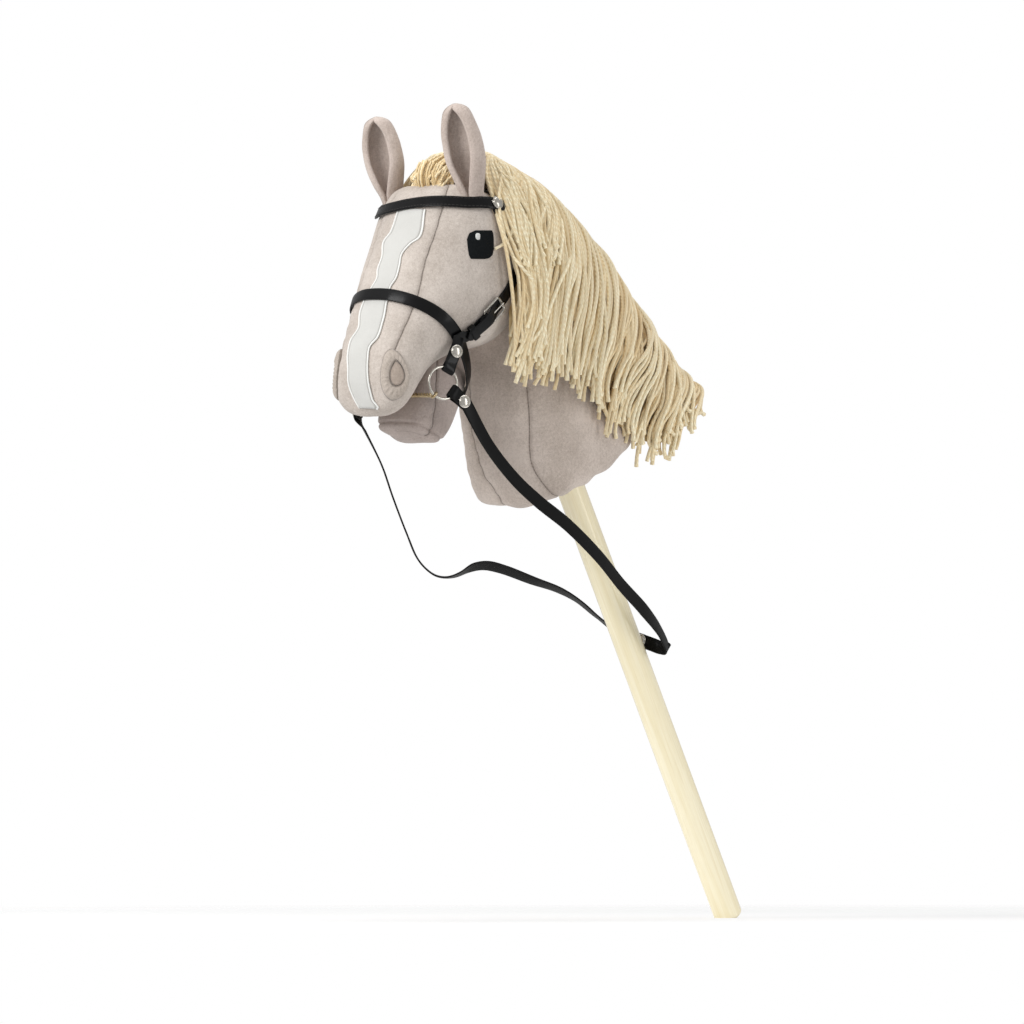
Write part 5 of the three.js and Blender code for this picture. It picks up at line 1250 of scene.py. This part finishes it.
# Each row, from the front of the hem to the back: height, depth, how far a strand's end leans
# back as it falls, and the height of the root that it falls from
hem_rows = np.array([
    (0.532, -0.391, -0.32, 0.975), (0.509, -0.349, -0.24, 0.965), (0.487, -0.297, -0.12, 0.94),
    (0.456, -0.219, -0.05, 0.89), (0.411, -0.096, 0.0, 0.78), (0.359, -0.012, 0.02, 0.68),
    (0.276, 0.021, 0.08, 0.57), (0.215, 0.095, 0.15, 0.47), (0.146, 0.201, 0.25, 0.37),
    (0.089, 0.325, 0.35, 0.28), (0.056, 0.443, 0.45, 0.21), (0.085, 0.544, 0.8, 0.16),
    (0.100, 0.80, 1.2, 0.12)])
short_rows = np.array([(0.755, -0.135, -0.1, 0.99), (0.736, -0.080, 0.0, 0.96), (0.712, -0.009, 0.05, 0.90),
                       (0.690, 0.080, 0.1, 0.84)])


def on_mane(height, depth, lift, side):
    """A place on the mane's outer face, by shares of its height and depth, raised by a lift"""
    front, back, half = np.moveaxis(row_at(mane_rows, height), -1, 0)
    depth = np.minimum(depth, back)
    middle = front + 0.4 * (back - front)
    past = np.clip((depth - middle) / np.maximum(back - middle, 1e-6), 0, 1)
    half = half * (1 - 0.9 * np.clip(-0.2 - depth, 0, 0.3))
    x = half * np.maximum(1 - past ** curtain_power, 0) ** (1 / curtain_power)
    flat = np.stack([side * x * mane_width, depth * mane_depth, mane_foot + height * mane_height], -1)
    out = unit(np.stack([side * half * np.maximum(1 - past, 0.05), 0.55 * past + 0 * half, 0 * half], -1))
    return lean_over(flat + out * np.asarray(lift)[..., None])


def bezier(a, b, c, d, s):
    """A curve from a to d that leaves towards b and arrives from c"""
    return a * (1 - s) ** 3 + b * 3 * s * (1 - s) ** 2 + c * 3 * s * s * (1 - s) + d * s ** 3


def fall(row, ahead, count, cut=0.0):
    """Heights and depths down a strand, from its root on the crest to its tip on a row of a hem"""
    size = np.array((mane_depth, mane_height))
    root, below = row_at(mane_rows, (row[3], row[3] - 0.03))[:, 1]
    start = np.array((root, row[3])) * size
    down_crest = unit(np.array((below - root, -0.03)) * size)
    leave = unit(down_crest * ahead + np.array((-1.0, 0.02)) * (1 - ahead))
    back = row[2] / math.sin(view_turn)
    arrive = unit((back * math.cos(lean) - math.sin(lean), -math.cos(lean) - back * math.sin(lean)))
    tip = row[[1, 0]] * size - arrive * cut
    span = np.linalg.norm(tip - start)
    s = np.linspace(0, 1, count)[:, None]
    first, second = start + leave * span * (0.36 - 0.06 * ahead), tip - arrive * span * (0.50 - 0.10 * ahead)
    return bezier(start, first, second, tip, s) / size


def hem_at(rows, share):
    """A hem's row at a share of the way from its front to its back"""
    return read(share, np.linspace(0, 1, len(rows)), rows)


def crest_share(share):
    """From 0 for a strand that leaves the crest forwards to 1 for one that runs down it"""
    s = min(share / 0.3, 1)
    return s * s * (3 - 2 * s)


strands_a_side, point_gap = 330, 0.0065
kinds, kind_shares = ("long", "middle", "short"), (0.70, 0.18, 0.12)
slow_sway, fine_sway, end_curl, uneven_lift = 0.0034, 0.0013, 0.0022, 0.0009
lowest_layer, layers_rise, root_sink, ripple = -0.0070, 0.0085, 0.0015, 0.0010
for side, sign in both_sides:
    draw = np.random.default_rng(20 + sign)
    strands = []
    for number in range(strands_a_side):
        deep = number / strands_a_side
        kind = draw.choice(kinds, p=kind_shares)
        share = draw.uniform(0.0, 1.0) ** 1.2
        if kind == "short":
            spread = draw.normal() * 0.02, draw.normal() * 0.02, draw.normal() * 0.1, draw.normal() * 0.01
            row = hem_at(short_rows, share) + spread
            cut, ahead, deep = 0.0, share * 0.7, 0.6 + deep * 0.4
        else:
            share = share * 0.65 if kind == "middle" else share
            row = hem_at(hem_rows, share) + (0, 0, draw.normal() * 0.1, draw.normal() * 0.035)
            cut = draw.normal() * 0.008 if kind == "long" else draw.uniform(0.012, 0.06)
            ahead = crest_share(share)
        higher = draw.uniform(0.0, 0.12) if draw.uniform() < 0.25 else 0
        row[3] = np.clip(row[3] + higher, row[0] + 0.02, 0.99)
        span = math.hypot((row[3] - row[0]) * mane_height, 0.05)
        count = int(12 + span / point_gap)
        line = fall(row, ahead, count, cut)
        s = np.linspace(0, 1, count)
        hang = np.clip(s / 0.3, 0, 1)
        sway = (draw.normal() * slow_sway * np.sin(s * draw.uniform(3, 7) + draw.uniform(0, 6.28))
                + draw.normal() * fine_sway * np.sin(s * draw.uniform(12, 20) + draw.uniform(0, 6.28))) * hang
        curl = np.clip((s - 0.9) / 0.1, 0, 1) ** 2
        depth = line[:, 0] + (sway + draw.normal() * end_curl * curl) / mane_depth
        lift = (lowest_layer + layers_rise * deep + draw.normal() * uneven_lift) * hang - root_sink * (1 - hang)
        lift = lift + ripple * np.sin(s * draw.uniform(4, 12) + draw.uniform(0, 6.28)) * hang
        lift = lift + curl * draw.uniform(-0.0006, 0.0016)
        # Inner layers get a darker tone, as painted shade; the rest of the tone is random.
        tone_and_shading = float(np.clip(draw.normal(0.3 + 0.5 * deep, 0.2), 0, 1))
        strands.append((on_mane(line[:, 1], depth, lift, sign), tone_and_shading))
    swept_piece(f"mane_{side}", strands, mane_yarn, yarn, [f"mane_{side}"])

# Behind the strands: the inner layers of yarn close against the neck, as one ribbed sheet a side.
# The left one stands for the tape too.
shaded_under_yarn = Finish("shaded_under_yarn", Sheen_Weight=0.2)
ribs = (shaded_under_yarn.mark("over") + shaded_under_yarn.noise(40) * 0.006).wave(0.0028)
# Painted shade: the sheet's yarn is darker than the strands', and darker still between the ribs.
under_shade = shaded_under_yarn.mix(dye(184, 150, 98), dye(232, 206, 152), ribs * 0.4 + 0.5)
shaded_under_yarn.surface(Base_Color=under_shade, Roughness=0.9)
shaded_under_yarn.bump(ribs, 0.0012)
under_lines, under_points, under_cut, rib_spread, under_faces = 80, 60, 0.006, 0.22, (-0.0075, -0.0100)
shares = np.linspace(0.035, 1, under_lines)
lines = np.array([fall(hem_at(hem_rows, v), crest_share(v), under_points, under_cut) for v in shares])
for side, sign in both_sides:
    outer, inner = (on_mane(lines[..., 1], lines[..., 0], np.full(lines.shape[:2], lift), sign)
                    for lift in under_faces)
    piece(f"mane_under_{side}", np.concatenate([outer, inner[:, ::-1]], 1), shaded_under_yarn, "yarn",
          marks={"over": np.repeat(shares * rib_spread, 2 * under_points)},
          replaces=["mane_tape"] if sign > 0 else [])

# Forelock: the same yarn brought forward over the poll between the ears and looped back under,
# with more strands that run over the top to join it to the mane.
draw = np.random.default_rng(7)
forelock_foot, forelock_height, forelock_depth, forelock_width = 0.722, 0.038, 0.050, 0.050
forelock_strands, poll_strands = 84, 90
strands = []
for _ in range(forelock_strands):
    x = draw.uniform(-1, 1)
    spread = math.sqrt(max(1 - x * x * 0.8, 0.1))
    size = draw.uniform(0.72, 1.0) * spread
    s = np.linspace(0, 1, 26)
    turn = np.radians(-60 + 215 * s)
    y = (-0.30 - 0.52 * np.sin(turn) * size + 0.1 * (1 - spread)) * forelock_depth
    z = forelock_foot + (0.48 - 0.50 * np.cos(turn)) * forelock_height * size * 1.05
    wave = draw.normal() * 0.002 * np.sin(s * 5 + draw.uniform(0, 6))
    points = lean_over(np.stack([x * 0.46 * forelock_width + wave + 0 * s, y, z], -1))
    strands.append((points, float(np.clip(draw.normal(0.2, 0.2), 0, 1))))
over_top = np.array([(0.026, 0.743), (0.004, 0.7535), (-0.016, 0.759), (-0.036, 0.750)])
for _ in range(poll_strands):
    x = draw.uniform(-1, 1)
    corners = over_top - (0, 0.009 * x * x + draw.uniform(0, 0.010))
    s = np.linspace(0, 1, 22)[:, None]
    last = corners[3] + draw.normal(size=2) * 0.0015
    line = bezier(*corners[:3], last, s)
    across = x * (0.027 - 0.006 * s[:, 0]) + draw.normal() * 0.0015 * np.sin(s[:, 0] * 5 + draw.uniform(0, 6))
    points = lean_over(np.column_stack([across, line]))
    strands.append((points, float(np.clip(draw.normal(0.35, 0.2), 0, 1))))
swept_piece("forelock", strands, forelock_yarn, yarn, ["forelock"])

# Loose strands: two lengths of yarn that have slipped forward over the cheek, one past the eye.
# Each place is a pixel and how far out from the middle of the toy the yarn lies.
strands = []
for places in (
        [(503, 188, 0.060), (508, 202, 0.0645), (511, 214, 0.068), (512.5, 227, 0.0705),
         (508.5, 240, 0.0705), (502, 246, 0.069), (495, 249.5, 0.0665)],
        [(501, 177, 0.058), (499, 199, 0.0655), (500, 215.6, 0.068), (503.4, 230.3, 0.069),
         (507, 246.8, 0.070), (512, 256, 0.0735), (521, 267, 0.0795), (532, 280, 0.0805)]):
    line = np.array([seen(x, y) for x, y, _ in places])
    line += (np.array([out for *_, out in places]) - line[:, 0])[:, None] / view_back[0] * view_back
    smooth = Course(line)
    strands.append((smooth.at(np.linspace(0, smooth.length, 40))[0], 0.8))
swept_piece("loose_strands", strands, loose_yarn, yarn)

low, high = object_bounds()
